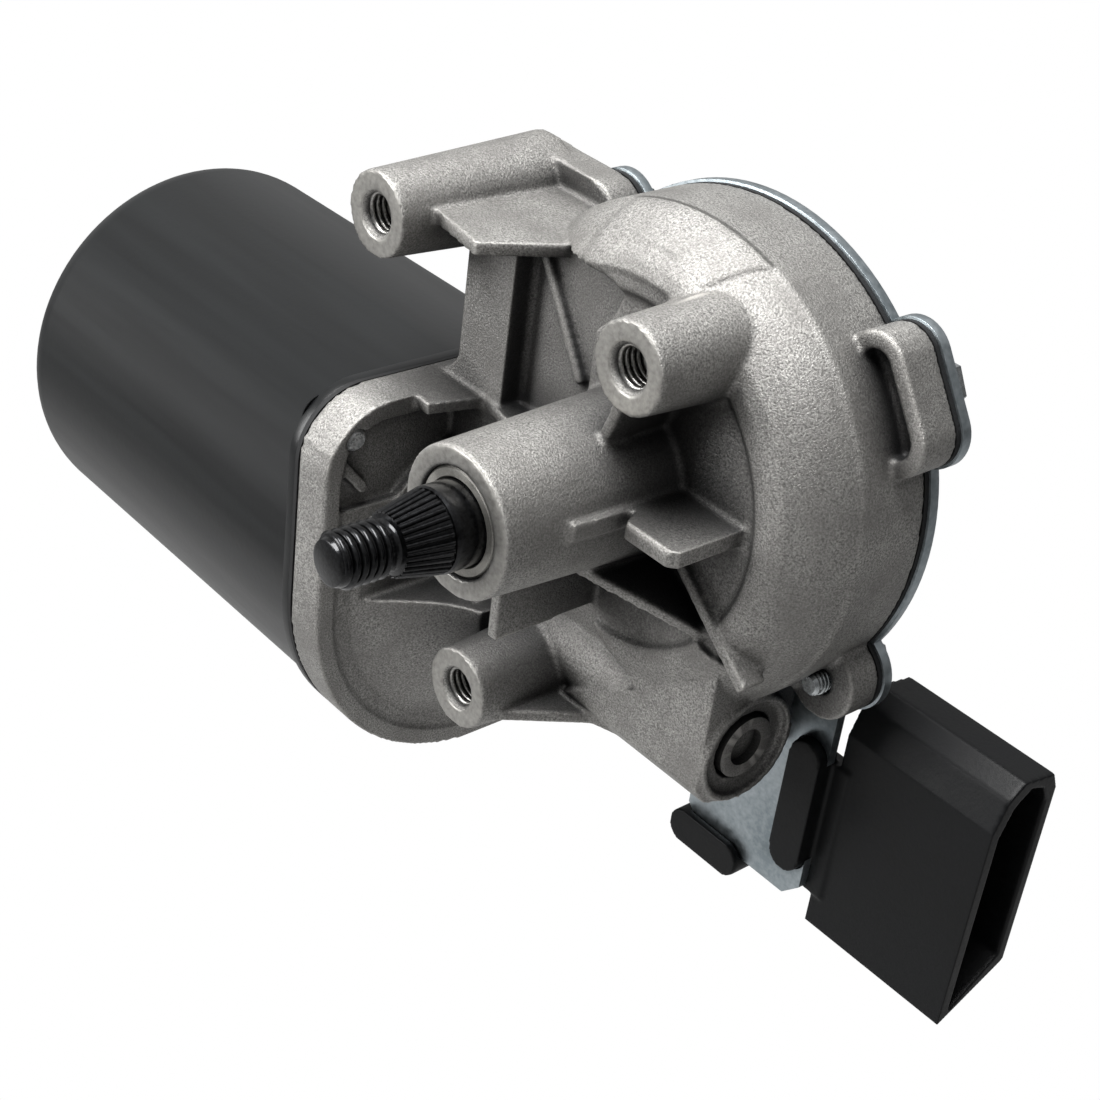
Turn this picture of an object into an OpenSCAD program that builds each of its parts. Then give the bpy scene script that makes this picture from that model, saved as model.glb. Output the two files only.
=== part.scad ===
// Wiper motor: a two-speed permanent magnet motor that drives a worm wheel in a
// die-cast gear housing. X runs from the motor can towards the plug, Y from the
// tip of the output shaft towards the cover, and Z is up. The origin lies on the
// axis of the output shaft, in the plane of the three mounting faces.

/* [Output shaft] */
// Diameter of the shaft where it turns in its bushes
journal_d = 12; // [10:0.5:13]
// Diameter of the threaded end that takes the crank nut
stud_d = 8; // [6:0.5:9]
// Length of the threaded end
stud_l = 8.5; // [6:0.5:14]
// Length of the splined cone that the crank sits on
cone_l = 7; // [5:0.5:10]
// Length of plain shaft between the central boss and the cone
journal_out_l = 4; // [2:0.5:8]
// Number of splines round the cone
spline_count = 30; // [20:1:40]

/* [Worm gear] */
// Module of the gear teeth
gear_module = 1; // [0.9:0.01:1.03]
// Number of teeth on the worm wheel
wheel_teeth = 63; // [58:1:65]
// Pitch diameter of the single start worm
worm_pitch_d = 10.4; // [9.6:0.1:11]
// Width of the toothed rim of the wheel
wheel_w = 7.6; // [6:0.2:8]
// Number of worm turns cut on the armature shaft
worm_turns = 7; // [6:1:8]

/* [Gear housing] */
// Wall thickness of the round case outside the wheel
case_side = 2.9; // [2.4:0.1:3.4]
// Wall thickness of the casting
wall = 2.2; // [1.8:0.1:2.6]
// Distance from the mounting faces back to the cover joint
case_back_y = 33.8; // [33:0.1:37]
// Distance from the mounting faces back to the front ring of the case
case_front_y = 12.6; // [12:0.1:13.4]
// Distance from the mounting faces back to the axis of the worm
worm_axis_y = 22.8; // [22.4:0.1:23.4]
// Distance that the central boss stands in front of the mounting faces
hub_reach = 16.2; // [10:0.2:22]
// Diameter of the central boss at its front face
hub_d = 21.4; // [19:0.2:23]
// Outer diameter of the bushes in the central boss
bush_d = 15.5; // [14.6:0.1:16.5]
// Length of each bush in the central boss
bush_l = 13; // [8:0.5:14]

/* [Mounting bosses] */
// Diameter of a mounting boss at its face
boss_d = 12.8; // [11:0.2:14]
// Diameter of the threaded hole in each mounting boss
boss_hole_d = 6; // [5:0.5:7]
// Depth of the threaded hole in each mounting boss
boss_hole_l = 18; // [12:0.5:22]
// Distance between the two upper mounting holes
upper_boss_pitch = 54; // [52:0.5:58]
// Distance of the right upper mounting hole to the right of the output shaft
upper_boss_x = 11.1; // [9:0.1:13]
// Height of the upper mounting holes above the output shaft
upper_boss_z = 23.7; // [22.5:0.1:25]
// Distance of the lower mounting hole to the left of the output shaft
lower_boss_x = 14.6; // [13:0.1:17]
// Distance of the lower mounting hole below the output shaft
lower_boss_z = 41.5; // [39:0.1:44]

/* [Motor can] */
// Outer radius of the drawn steel can
can_r = 33.7; // [33:0.1:34.2]
// Length of the can from its flange to the closed end
can_l = 88; // [84:1:110]
// Wall thickness of the can
can_wall = 1.6; // [1:0.1:2]
// Half the width of the square flange between can and housing
flange_half = 34.75; // [34.5:0.05:37]
// Radius of the flange's screw corners
flange_corner_r = 11; // [9:0.5:13]
// Thickness of the housing's flange
flange_l = 7.2; // [6.6:0.1:9]
// Distance of the flange's joint face to the left of the output shaft
flange_x = 41.6; // [41:0.1:44]
// Diameter of the armature shaft
armature_shaft_d = 8; // [7.6:0.1:8.4]
// Outer radius of the armature core
core_r = 24.2; // [22:0.1:24.4]
// Number of slots in the armature core
slot_count = 12; // [8:1:14]

/* [Cover and plug] */
// Thickness of the steel cover plate
cover_t = 1.6; // [1.2:0.1:2.4]
// Thickness of the gaskets
gasket_t = 0.8; // [0.5:0.1:1.2]
// Diameter of the screws that hold the cover
cover_screw_d = 4; // [3:0.5:4.5]
// Length of the plug shell from its root to its mouth
plug_l = 27; // [22:0.5:34]
// Height of the plug shell
plug_h = 43; // [40:0.5:44]
// Depth of the plug shell, front to back
plug_w = 13; // [12:0.5:18]
// Wall thickness of the plug shell
plug_wall = 1.8; // [1.2:0.1:2.2]
// Number of contact blades in the plug
blade_count = 5; // [3:1:6]

/* [Hidden] */
$fn = 96;

// overrun of every cut past the face it opens
cut = 1;
// gap that a pressed or seated piece keeps from its seat
seat_gap = 0.02;
// radial gap of a shaft in its bush
run_gap = 0.03;
// gap between pieces that turn past each other
turn_gap = 0.3;

// output shaft, from its tip to its rear end
hub_front_y = -hub_reach;
cone_back_y = hub_front_y - journal_out_l;
cone_front_y = cone_back_y - cone_l;
neck_l = 0.6;
neck_inset = 0.7;
stud_back_y = cone_front_y - neck_l;
tip_y = stud_back_y - stud_l;
tip_chamfer = 0.9;
journal_r = journal_d / 2;
stud_r = stud_d / 2;
cone_back_share = 0.98;
cone_front_share = 1.12;
spline_share = 0.91;
cone_back_r = journal_r * cone_back_share;
cone_front_r = stud_r * cone_front_share;

// wheel and its place
root_share = 1.25;
gear_r = gear_module * wheel_teeth / 2;
worm_r = worm_pitch_d / 2;
worm_z = -(gear_r + worm_r);
worm_y = worm_axis_y;
lead = PI * gear_module;
addendum = gear_module;
dedendum = gear_module * root_share;
wheel_tip_r = gear_r + addendum;
wheel_root_r = gear_r - dedendum;
wheel_front_y = worm_y - wheel_w / 2;
wheel_back_y = worm_y + wheel_w / 2;
cavity_gap = 1.1;
cavity_r = wheel_tip_r + cavity_gap;
case_r = cavity_r + case_side;
pocket_l = 3.3;
pocket_y = case_front_y + pocket_l;
cavity_y = pocket_y + wall;
washer_t = 0.8;
washer_gap = 0.16;
washer_y = cavity_y + washer_gap;
wheel_hub_y = washer_y + washer_t + seat_gap;
seat_step = 0.5;
wheel_seat_r = journal_r - seat_step;
wheel_hub_wall = 4.5;
wheel_hub_r = journal_r + wheel_hub_wall;
wheel_hub_stand = 1;
wheel_hub_back_y = wheel_back_y + wheel_hub_stand;
clip_t = 1;
clip_gap = 0.1;
clip_y = wheel_hub_back_y + clip_gap;
clip_groove_l = 0.7;
clip_groove_r = wheel_seat_r - clip_groove_l;
shaft_tail_l = 1.4;
shaft_back_y = clip_y + clip_t + shaft_tail_l;
disc_t = 0.6;
disc_y = wheel_back_y - disc_t;

// joint between can and housing
joint_x = -flange_x;
flange_front_x = joint_x + flange_l;
can_front_x = joint_x - gasket_t;
can_end_x = can_front_x - can_l;
can_in_r = can_r - can_wall;
can_edge_r = 7;
cup_r = 10.5;
cup_l = 5;
cup_edge_r = 2;
sheet_t = can_wall;

// armature shaft and what sits on it
arm_r = armature_shaft_d / 2;
worm_root_r = worm_r - dedendum;
worm_tip_r = worm_r + addendum;
worm_half_l = worm_turns * lead / 2;
bearing_stand = 8.6;
bearing_x = joint_x + bearing_stand;
bearing_w = 6;
bearing_out_r = 9.5;
bearing_race_t = 1.6;
ball_r = 1.6;
ball_count = 7;
worm_clear = 0.5;
tunnel_bore_r = worm_tip_r + worm_clear;
tunnel_r = tunnel_bore_r + wall;
tunnel_end_x = 24;
end_step = 1;
end_journal_r = arm_r - end_step;
end_ball_share = 0.8;
end_ball_r = end_journal_r * end_ball_share;
end_bush_l = 5;
end_bush_wall = 1.4;
end_bush_r = arm_r + end_bush_wall;
end_bush_gap = 0.9;
end_bush_x = worm_half_l + end_bush_gap;
end_bush_back_x = end_bush_x + end_bush_l;
pad_gap = 0.3;
pad_x = end_bush_back_x + end_ball_r + pad_gap;
pad_t = 1.4;
plug_recess = 1.2;
end_plug_r = 5;

// cover stack
gasket_y = case_back_y;
cover_y = gasket_y + gasket_t;
cover_back_y = cover_y + cover_t;
screw_stand = 1;
screw_circle_r = case_r + screw_stand;
screw_angles = [35, 141, -38, -125];
lobe_angles = [27, 42];
lobe_r = 5;
lobe_l = 6.5;
lobe_rim = 2.5;
lobe_pocket_l = 2.8;
ear_r = 6;
ear_l = 5.5;
screw_tip_l = 2.4;
screw_floor = 0.8;
screw_in_l = [lobe_l - lobe_pocket_l - screw_floor, ear_l + screw_tip_l, ear_l + screw_tip_l,
              ear_l - 2 * screw_floor];
cover_screw_r = cover_screw_d / 2;

// left, right and lower bosses
boss_left_x = upper_boss_x - upper_boss_pitch;
boss_r = boss_d / 2;
boss_draft_share = 1.22;
boss_base_r = boss_r * boss_draft_share;
boss_hole_r = boss_hole_d / 2;
boss_chamfer = 0.6;

// extrude an outline drawn in x and z from y0 over a length
module slab_y(y0, l) {
  translate([0, y0 + l, 0]) rotate([90, 0, 0]) linear_extrude(l) children();
}

// extrude an outline drawn in y and z from x0 over a length
module slab_x(x0, l) {
  translate([x0, 0, 0]) rotate([90, 0, 90]) linear_extrude(l) children();
}

// extrude an outline drawn in x and y from z0 over a length
module slab_z(z0, l) {
  translate([0, 0, z0]) linear_extrude(l) children();
}

// put a shape that stands on its own z axis on the output shaft's line
module on_shaft(y0) {
  translate([0, y0, 0]) rotate([-90, 0, 0]) children();
}

// put a shape that stands on its own z axis on the armature's line
module on_worm(x0) {
  translate([x0, worm_y, worm_z]) rotate([0, 90, 0]) children();
}

// tube or rod of a given length
module tube(l, r, hole = 0) {
  difference() {
    cylinder(h = l, r = r);
    if (hole > 0) translate([0, 0, -cut]) cylinder(h = l + 2 * cut, r = hole);
  }
}

// straight bar with round ends between two points of an outline
module bar2d(a, b, w) {
  d = b - a;
  translate(a) rotate(atan2(d[1], d[0])) translate([0, -w / 2]) square([norm(d), w]);
  translate(a) circle(w / 2);
  translate(b) circle(w / 2);
}

// point of the circle that the cover screws lie on, in x and z
function on_circle(a) = screw_circle_r * [cos(a), sin(a)];
function screw_at(i) = on_circle(screw_angles[i]);

// outline of the wide lobe at the upper right screw
module lobe_outline(grow = 0) {
  bar2d(on_circle(lobe_angles[0]), on_circle(lobe_angles[1]), 2 * (lobe_r + grow));
}

// outline of the round case with its four screw ears
module case_outline(grow = 0) {
  circle(case_r + grow);
  for (i = [1:3]) {
    bar2d([0, 0], screw_at(i), 2 * (ear_r + grow));
  }
  lobe_outline(grow);
}

// tab of the cover that carries the plug
tab_left_x = 5;
tab_right_x = 29.6;
tab_low_z = -67.3;
tab_corner = 3;
module tab_outline() {
  polygon([
    [tab_left_x, 0],
    [tab_left_x, tab_low_z + tab_corner],
    [tab_left_x + tab_corner, tab_low_z],
    [tab_right_x - tab_corner, tab_low_z],
    [tab_right_x, tab_low_z + tab_corner],
    [tab_right_x, 0]
  ]);
}

// the casting's flange keeps the cover off its edge
flange_clear_share = 1.11;
module flange_clear2d() {
  left = flange_front_x + turn_gap;
  translate([left - case_r, worm_z - case_r]) square([case_r, -worm_z + case_r * flange_clear_share]);
}

// outline of the joint between can and housing, in y and z
module flange_outline(inset = 0) {
  h = flange_half - inset;
  c = flange_corner_r;
  translate([worm_y, worm_z]) {
    circle(h);
    for (s = [-1, 1]) {
      scale([s, s]) {
        translate([-(flange_half - c), flange_half - c]) circle(c - inset);
        translate([-(flange_half - c), 0]) square([flange_half - c, h]);
        translate([-h, 0]) square([h, flange_half - c]);
      }
    }
  }
}

flange_screw_r = 2;
flange_screw_inset = 5.5;
flange_screw_off = flange_half - flange_screw_inset;
function flange_screw_at(s) = [worm_y - s * flange_screw_off, worm_z + s * flange_screw_off];

// tapered boss with a round foot
module boss(x, z, back) {
  translate([x, 0, z]) rotate([-90, 0, 0]) cylinder(h = back, r1 = boss_r, r2 = boss_base_r);
}

module boss_hole(x, z) {
  translate([x, 0, z]) rotate([-90, 0, 0]) {
    translate([0, 0, -cut]) cylinder(h = boss_hole_l + cut, r = boss_hole_r);
    translate([0, 0, -cut]) cylinder(h = boss_chamfer + cut, r1 = boss_hole_r + boss_chamfer + cut,
                                     r2 = boss_hole_r);
  }
}

// round case: a flat floor, a low front ring and a shoulder that rounds off to
// the side wall; shares of the case radius and of the depth behind the ring
floor_step = 0.8;
ring_in_share = 0.712;
case_shares = [
  [0.781, 0], [0.836, 0.042], [0.882, 0.123], [0.923, 0.203],
  [0.953, 0.283], [0.975, 0.354], [0.989, 0.425], [1, 0.443]
];
module case_body() {
  floor_y = case_front_y + floor_step;
  depth = case_back_y - case_front_y;
  ring_in_r = case_r * ring_in_share;
  on_shaft(0) rotate_extrude() polygon(concat(
    [[0, floor_y], [ring_in_r - floor_step, floor_y], [ring_in_r, case_front_y]],
    [for (p = case_shares) [case_r * p[0], case_front_y + depth * p[1]]],
    [[case_r, case_back_y], [0, case_back_y]]
  ));
}

// room for the wheel, open to the cover
cavity_edge = 1.5;
module case_cavity() {
  on_shaft(0) rotate_extrude() polygon([
    [0, cavity_y],
    [cavity_r - cavity_edge, cavity_y],
    [cavity_r, cavity_y + cavity_edge],
    [cavity_r, case_back_y + cut],
    [0, case_back_y + cut]
  ]);
}

// ears round the joint, for the cover screws
module case_ears() {
  slab_y(case_back_y - ear_l, ear_l) difference() {
    case_outline();
    circle(cavity_r);
  }
  slab_y(case_back_y - lobe_l, lobe_l) difference() {
    lobe_outline();
    circle(cavity_r);
  }
}

// pocket in the front of the wide lobe
module lobe_pocket() {
  slab_y(case_back_y - lobe_l - cut, lobe_pocket_l + cut) difference() {
    lobe_outline(-lobe_rim);
    circle(case_r);
  }
}

// central boss with its draft
hub_draft_share = 1.12;
hub_base_r = hub_d / 2 * hub_draft_share;
module hub() {
  on_shaft(hub_front_y) cylinder(h = case_front_y - hub_front_y + wall, r1 = hub_d / 2, r2 = hub_base_r);
}

// inner boss behind the floor that carries the rear bush
module hub_inside() {
  on_shaft(case_front_y) cylinder(h = cavity_y - case_front_y, r = bush_d / 2 + wall);
}

// bridge between the round case and the motor flange, seen as a flat strut
strut_gap = 5.6;
strut_w = 10.5;
strut_step = 0.6;
strut_y = case_front_y - strut_step;
strut_x = joint_x + strut_gap;
strut_right_x = strut_x + strut_w;
shelf_t = 2;
shelf_rise = 2.3;
shelf_top_z = upper_boss_z + shelf_rise;
flange_top_z = worm_z + flange_half;
fillet_r = 5.5;
block_l = 5.8;
// front edge of the shelf: shares of the left boss's distance and of the ring's
shelf_shares = [[0.925, 0.476], [0.723, 0.365], [0.573, 0.27], [0.427, 1.19]];
module bridge() {
  slab_y(strut_y, case_back_y - strut_y)
    translate([strut_x, worm_z]) square([strut_w, shelf_top_z - worm_z]);
  // fillet from the strut to the top edge of the flange
  slab_y(strut_y, case_back_y - strut_y) difference() {
    translate([strut_x - fillet_r, flange_top_z - wall]) square([fillet_r, fillet_r + wall]);
    translate([strut_x - fillet_r, flange_top_z + fillet_r]) circle(fillet_r);
  }
  // shelf over the pocket, with its front edge cut back to the right
  slab_z(shelf_top_z - shelf_t, shelf_t) polygon(concat(
    [[boss_left_x + boss_r, case_back_y]],
    [for (p = shelf_shares) [boss_left_x * p[0], case_front_y * p[1]]],
    [[boss_left_x * shelf_shares[3][0], case_back_y]]
  ));
  // block between the left boss and its ear
  slab_y(case_back_y - block_l, block_l) polygon([
    [boss_left_x, upper_boss_z - boss_r],
    [strut_x + wall, upper_boss_z - 1.6 * boss_r],
    [strut_right_x, shelf_top_z - shelf_t],
    [0.75 * screw_at(1)[0], shelf_top_z],
    [screw_at(1)[0], screw_at(1)[1] + ear_r],
    [boss_left_x, upper_boss_z + boss_r]
  ]);
}

// plate from the flange's top edge past the strut to the central boss
// shares of the joint's distance and of the ring's
plate_shares = [
  [1, 0.317], [0.962, 0.317], [0.75, 0.238], [0.697, 0.952], [0.543, 0.833], [0.288, 0.833]
];
side_plate_t = 2;
module side_plate() {
  back = pocket_y + wall / 2;
  slab_z(flange_top_z - side_plate_t, side_plate_t) polygon(concat(
    [for (p = plate_shares) [joint_x * p[0], case_front_y * p[1]]],
    [[joint_x * plate_shares[5][0], back], [joint_x, back]]
  ));
}

// tunnel round the worm, with the bearing seat at its motor end; the trumpet
// under it is given in shares of the flange's half width and of its own length
dome_l = 12.4;
dome_edge = 1.2;
dome_shares = [
  [0.797, 0], [0.69, 0.18], [0.59, 0.355], [0.51, 0.52], [0.449, 0.677], [0.405, 0.84], [0.374, 1]
];
seat_wall_r = bearing_out_r + wall;
seat_back_x = bearing_x + bearing_w + wall;
module dome(grow = 0) {
  foot = wall - flange_l;
  on_worm(flange_front_x) rotate_extrude() polygon(concat(
    [[0, foot], [flange_half * dome_shares[0][0] + grow, foot]],
    [for (p = dome_shares) [flange_half * p[0] + grow, dome_l * p[1]]],
    [[flange_half * dome_shares[6][0] + grow, dome_l + grow], [0, dome_l + grow]]
  ));
}

module tunnel() {
  on_worm(flange_front_x - wall) {
    cylinder(h = tunnel_end_x - flange_front_x + wall, r = tunnel_r);
    cylinder(h = seat_back_x - flange_front_x + wall, r = seat_wall_r);
  }
  difference() {
    dome();
    translate([flange_front_x, case_back_y, worm_z - flange_half]) cube(2 * flange_half);
    translate([flange_front_x, worm_y - 2 * flange_half, worm_z + dome_edge]) cube(2 * flange_half);
  }
  // block that joins the tunnel to the back of the case
  slab_y(worm_y, case_back_y - worm_y) translate([joint_x / 2, worm_z - 0.6 * tunnel_r])
    square([tunnel_end_x - wall - joint_x / 2, 1.6 * tunnel_r]);
}

// flat front that wraps the tunnel, with a corner left open towards the lower
// boss: shares of the tunnel's end and of the worm's depth, and the section in
// shares of the tunnel's radius
wrap_shares = [
  [-0.154, 0.409], [-0.154, 0.651], [0.35, 0.891], [-0.367, 1.183], [-0.417, 1.243],
  [0.967, 1.243], [0.967, 0.409]
];
section_shares = [[-1, 2.44], [-1, -0.54], [-0.72, -0.89], [-0.3, -1], [0, -1], [0, 2.44]];
module tunnel_wrap() {
  intersection() {
    slab_y(worm_y - tunnel_r, tunnel_r)
      polygon([for (p = wrap_shares) [tunnel_end_x * p[0], worm_z * p[1]]]);
    slab_x(joint_x, 2 * flange_x)
      polygon([for (p = section_shares) [worm_y + tunnel_r * p[0], worm_z + tunnel_r * p[1]]]);
  }
}

// flange with a raised rim; its face is sunken above a step and nearly flush
// below it, and a short ridge crosses the sunken part
rim_w = 3;
rim_h = 2;
fill_step = 0.4;
fill_share = 0.51;
ridge_shares = [[-0.958, 0.797], [-0.794, 0.604]];
function flange_point(p) = [worm_y + flange_half * p[0], worm_z + flange_half * p[1]];
module flange() {
  slab_x(joint_x, flange_l - rim_h) flange_outline();
  slab_x(joint_x, flange_l) difference() {
    flange_outline();
    flange_outline(rim_w);
  }
  slab_x(joint_x, flange_l - fill_step) {
    intersection() {
      flange_outline();
      translate(flange_point([-2, -2])) square([4 * flange_half, (2 + fill_share) * flange_half]);
    }
    bar2d(flange_point(ridge_shares[0]), flange_point(ridge_shares[1]), web_t);
  }
}

bowl_inset = 6.25;
bowl_r = flange_half - bowl_inset;
module flange_bowl() {
  on_worm(joint_x - cut) cylinder(h = flange_l - rim_h - wall + cut, r = bowl_r);
}

module tunnel_bores() {
  on_worm(joint_x) cylinder(h = bearing_x + bearing_w - joint_x, r = bearing_out_r);
  on_worm(bearing_x) cylinder(h = end_bush_x - bearing_x, r = tunnel_bore_r);
  on_worm(0) cylinder(h = tunnel_end_x + cut, r = end_bush_r + seat_gap);
  on_worm(tunnel_end_x - plug_recess) cylinder(h = plug_recess + cut, r = tunnel_r - wall / 2);
}

// horizontal ledge and fin at the right of the central boss, in shares of the
// case radius and of the ring's distance
ledge_z = 0.2;
ledge_t = 2.6;
ledge_shares = [
  [0, -0.492], [0.323, -0.492], [0.34, 0.349], [0.394, 0.032], [0.614, 0.032], [0.647, 0.127]
];
module ledge() {
  slab_z(ledge_z, ledge_t) polygon(concat(
    [for (p = ledge_shares) [case_r * p[0], case_front_y * p[1]]],
    [[case_r * ledge_shares[5][0], case_front_y + wall], [0, case_front_y + wall]]
  ));
}

// upright web and slanted ribs that tie the central boss to the case; each rib
// has its two ends in shares of the case radius, and where its front edge lies
// at each end in shares of the ring's distance
web_t = 1.8;
web_x_share = -0.093;
web_shares = [[-0.43, 0], [-0.43, 0.635], [1.08, 0.63], [1.08, 0]];
rib_shares = [
  [[0.055, -0.247], [0.548, -0.466], [0, 1.095]],
  [[0.356, -0.164], [0.803, -0.529], [0.92, 0.952]],
  [[-0.337, 0.197], [-0.625, 0.63], [1.143, 1.143]]
];
boss_rib_shares = [[0.137, 0.247], [0.238, 0.111]];
module webs() {
  slab_x(case_r * web_x_share, web_t)
    polygon([for (p = web_shares) [case_front_y * p[0], worm_z * p[1]]]);
  for (p = rib_shares) {
    slant_rib(case_r * p[0], case_r * p[1], case_front_y * p[2][0], case_front_y * p[2][1]);
  }
  // towards the right upper boss
  slant_rib(case_r * boss_rib_shares[0], [upper_boss_x, upper_boss_z],
            case_front_y * boss_rib_shares[1][0], case_front_y * boss_rib_shares[1][1]);
}

// rib in x and z between two points, whose front edge runs from y_a to y_b
module slant_rib(a, b, y_a, y_b) {
  d = b - a;
  l = norm(d);
  back = pocket_y + floor_step / 2;
  translate([a[0], 0, a[1]]) rotate([0, -atan2(d[1], d[0]), 0]) translate([0, 0, -web_t / 2])
    linear_extrude(web_t) polygon([[0, y_a], [l, y_b], [l, back], [0, back]]);
}

// web that braces the lower boss against the tunnel
lower_web_front = 1;
module lower_boss_web() {
  left = -lower_boss_x - boss_r / 2;
  slab_z(worm_z - 0.89 * tunnel_r, web_t) polygon([
    [left, lower_web_front],
    [-lower_boss_x + 0.8 * boss_r, lower_web_front],
    [0, worm_y - 0.9 * tunnel_r],
    [tunnel_end_x / 3, worm_y - 0.6 * tunnel_r],
    [tunnel_end_x / 3, worm_y],
    [left, worm_y]
  ]);
}

// pockets that lighten the front: between strut, shelf and central boss, between
// the two ribs at the right, and under the web; shares of the case radius
left_pocket_shares = [
  [-0.219, 0.712], [-0.17, 0.705], [-0.142, 0.685], [-0.137, 0.657], [-0.173, 0.562], [-0.255, 0.477]
];
right_pocket_shares = [[0.12, -0.27], [0.34, -0.2], [0.79, -0.53], [0.56, -0.49]];
low_pocket_shares = [
  [-0.101, -0.655], [0.23, -0.896], [-0.082, -0.986], [-0.384, -0.904], [-0.438, -0.685]
];
module front_pockets() {
  slab_y(0, pocket_y) {
    polygon(concat(
      [[strut_right_x, flange_top_z], [strut_right_x, shelf_top_z]],
      [for (p = left_pocket_shares) case_r * p],
      [[case_r * left_pocket_shares[5][0], flange_top_z]]
    ));
    polygon([for (p = right_pocket_shares) case_r * p]);
    polygon([for (p = low_pocket_shares) case_r * p]);
  }
}

module gear_housing() {
  color("silver") difference() {
    union() {
      difference() {
        case_body();
        front_pockets();
      }
      case_ears();
      bridge();
      side_plate();
      flange();
      tunnel();
      tunnel_wrap();
      hub();
      hub_inside();
      ledge();
      webs();
      lower_boss_web();
      boss(upper_boss_x, upper_boss_z, case_back_y - ear_l);
      boss(boss_left_x, upper_boss_z, case_back_y - wall);
      boss(-lower_boss_x, -lower_boss_z, worm_y);
    }
    lobe_pocket();
    difference() {
      case_cavity();
      on_shaft(case_front_y) cylinder(h = cavity_y - case_front_y, r = bush_d / 2 + wall);
    }
    flange_bowl();
    tunnel_bores();
    on_shaft(hub_front_y - cut) cylinder(h = cavity_y - hub_front_y + 2 * cut, r = bush_d / 2);
    boss_hole(upper_boss_x, upper_boss_z);
    boss_hole(boss_left_x, upper_boss_z);
    boss_hole(-lower_boss_x, -lower_boss_z);
    for (i = [0:3]) {
      translate([screw_at(i)[0], case_back_y + cut, screw_at(i)[1]]) rotate([90, 0, 0])
        cylinder(h = screw_in_l[i] + cut + seat_gap, r = cover_screw_r + seat_gap);
    }
    for (s = [-1, 1]) {
      translate([joint_x - cut, flange_screw_at(s)[0], flange_screw_at(s)[1]]) rotate([0, 90, 0])
        cylinder(h = flange_l + 2 * cut, r = flange_screw_r + seat_gap);
    }
  }
}

// plain bearing bush of sintered bronze
bush_edge = 0.4;
module bush(l) {
  difference() {
    cylinder(h = l, r = bush_d / 2 - seat_gap);
    translate([0, 0, -cut]) cylinder(h = l + 2 * cut, r = journal_r + run_gap);
    translate([0, 0, -cut]) cylinder(h = cut + bush_edge, r1 = journal_r + run_gap + bush_edge + cut,
                                     r2 = journal_r + run_gap);
  }
}

bush_inset = 0.3;
module front_bush() {
  color("gainsboro") on_shaft(hub_front_y + bush_inset) bush(bush_l);
}

module rear_bush() {
  color("gainsboro") on_shaft(cavity_y - bush_inset - bush_l) bush(bush_l);
}

// rubber ring in a groove of the shaft, between the two bushes
seal_r = 1.2;
seal_y = (hub_front_y + cavity_y) / 2;
module shaft_seal() {
  color("black") on_shaft(seal_y) rotate_extrude() translate([bush_d / 2 - seal_r - seat_gap, 0])
    circle(seal_r, $fn = 24);
}

// splined cone: a toothed outline that shrinks towards the stud
module splined_cone() {
  points = [for (i = [0:2 * spline_count - 1])
    let (a = 180 * i / spline_count, r = cone_back_r * (i % 2 == 0 ? 1 : spline_share))
    [r * cos(a), r * sin(a)]];
  on_shaft(cone_back_y) rotate([180, 0, 0])
    linear_extrude(cone_l, scale = cone_front_r / cone_back_r) polygon(points);
}

module output_shaft() {
  color("dimgray") difference() {
    union() {
      on_shaft(tip_y) cylinder(h = tip_chamfer, r1 = stud_r - tip_chamfer, r2 = stud_r);
      on_shaft(tip_y + tip_chamfer) cylinder(h = stud_l - tip_chamfer, r = stud_r);
      on_shaft(stud_back_y) cylinder(h = neck_l, r = stud_r - neck_inset);
      splined_cone();
      on_shaft(cone_back_y) cylinder(h = wheel_hub_y - cone_back_y, r = journal_r);
      on_shaft(wheel_hub_y) cylinder(h = shaft_back_y - wheel_hub_y, r = wheel_seat_r);
    }
    on_shaft(seal_y - seal_r - seat_gap) tube(2 * (seal_r + seat_gap), journal_r + cut,
                                              bush_d / 2 - 2 * seal_r - 2 * seat_gap);
    on_shaft(clip_y) tube(clip_t, journal_r, clip_groove_r);
  }
}

// wheel outline: one tooth is a straight sided rack tooth bent round the rim
tooth_root_share = 0.33;
tooth_tip_share = 0.13;
module wheel_outline() {
  step = 360 / wheel_teeth;
  polygon([for (i = [0:wheel_teeth - 1]) for (p = [
      [-tooth_root_share, wheel_root_r], [-tooth_tip_share, wheel_tip_r],
      [tooth_tip_share, wheel_tip_r], [tooth_root_share, wheel_root_r]])
    let (a = step * (i + p[0]) - 90) p[1] * [cos(a), sin(a)]]);
}

rim_t = 2.4;
wheel_web_t = 3;
spoke_count = 8;
spoke_t = 1.6;
spoke_inset = 1;
module worm_wheel() {
  twist = wheel_w * lead / (2 * PI * worm_r) / gear_r * 180 / PI;
  hub_l = wheel_hub_back_y - wheel_hub_y;
  color("ivory") difference() {
    union() {
      difference() {
        translate([0, wheel_back_y, 0]) rotate([90, 0, 0]) rotate(-twist / 2)
          linear_extrude(wheel_w, twist = -twist, slices = 3) wheel_outline();
        on_shaft(wheel_front_y - cut) cylinder(h = wheel_w + 2 * cut, r = wheel_root_r - rim_t);
      }
      on_shaft(disc_y - wheel_web_t) cylinder(h = wheel_web_t, r = wheel_root_r - rim_t / 2);
      on_shaft(wheel_hub_y) cylinder(h = hub_l, r = wheel_hub_r);
      for (i = [0:spoke_count - 1]) {
        on_shaft(wheel_front_y + spoke_inset) rotate(360 * i / spoke_count) translate([0, -spoke_t / 2, 0])
          cube([wheel_root_r - rim_t / 2, spoke_t, disc_y - wheel_front_y - 2 * spoke_inset]);
      }
    }
    on_shaft(wheel_hub_y - cut) cylinder(h = hub_l + 2 * cut, r = wheel_seat_r + seat_gap);
  }
}

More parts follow.
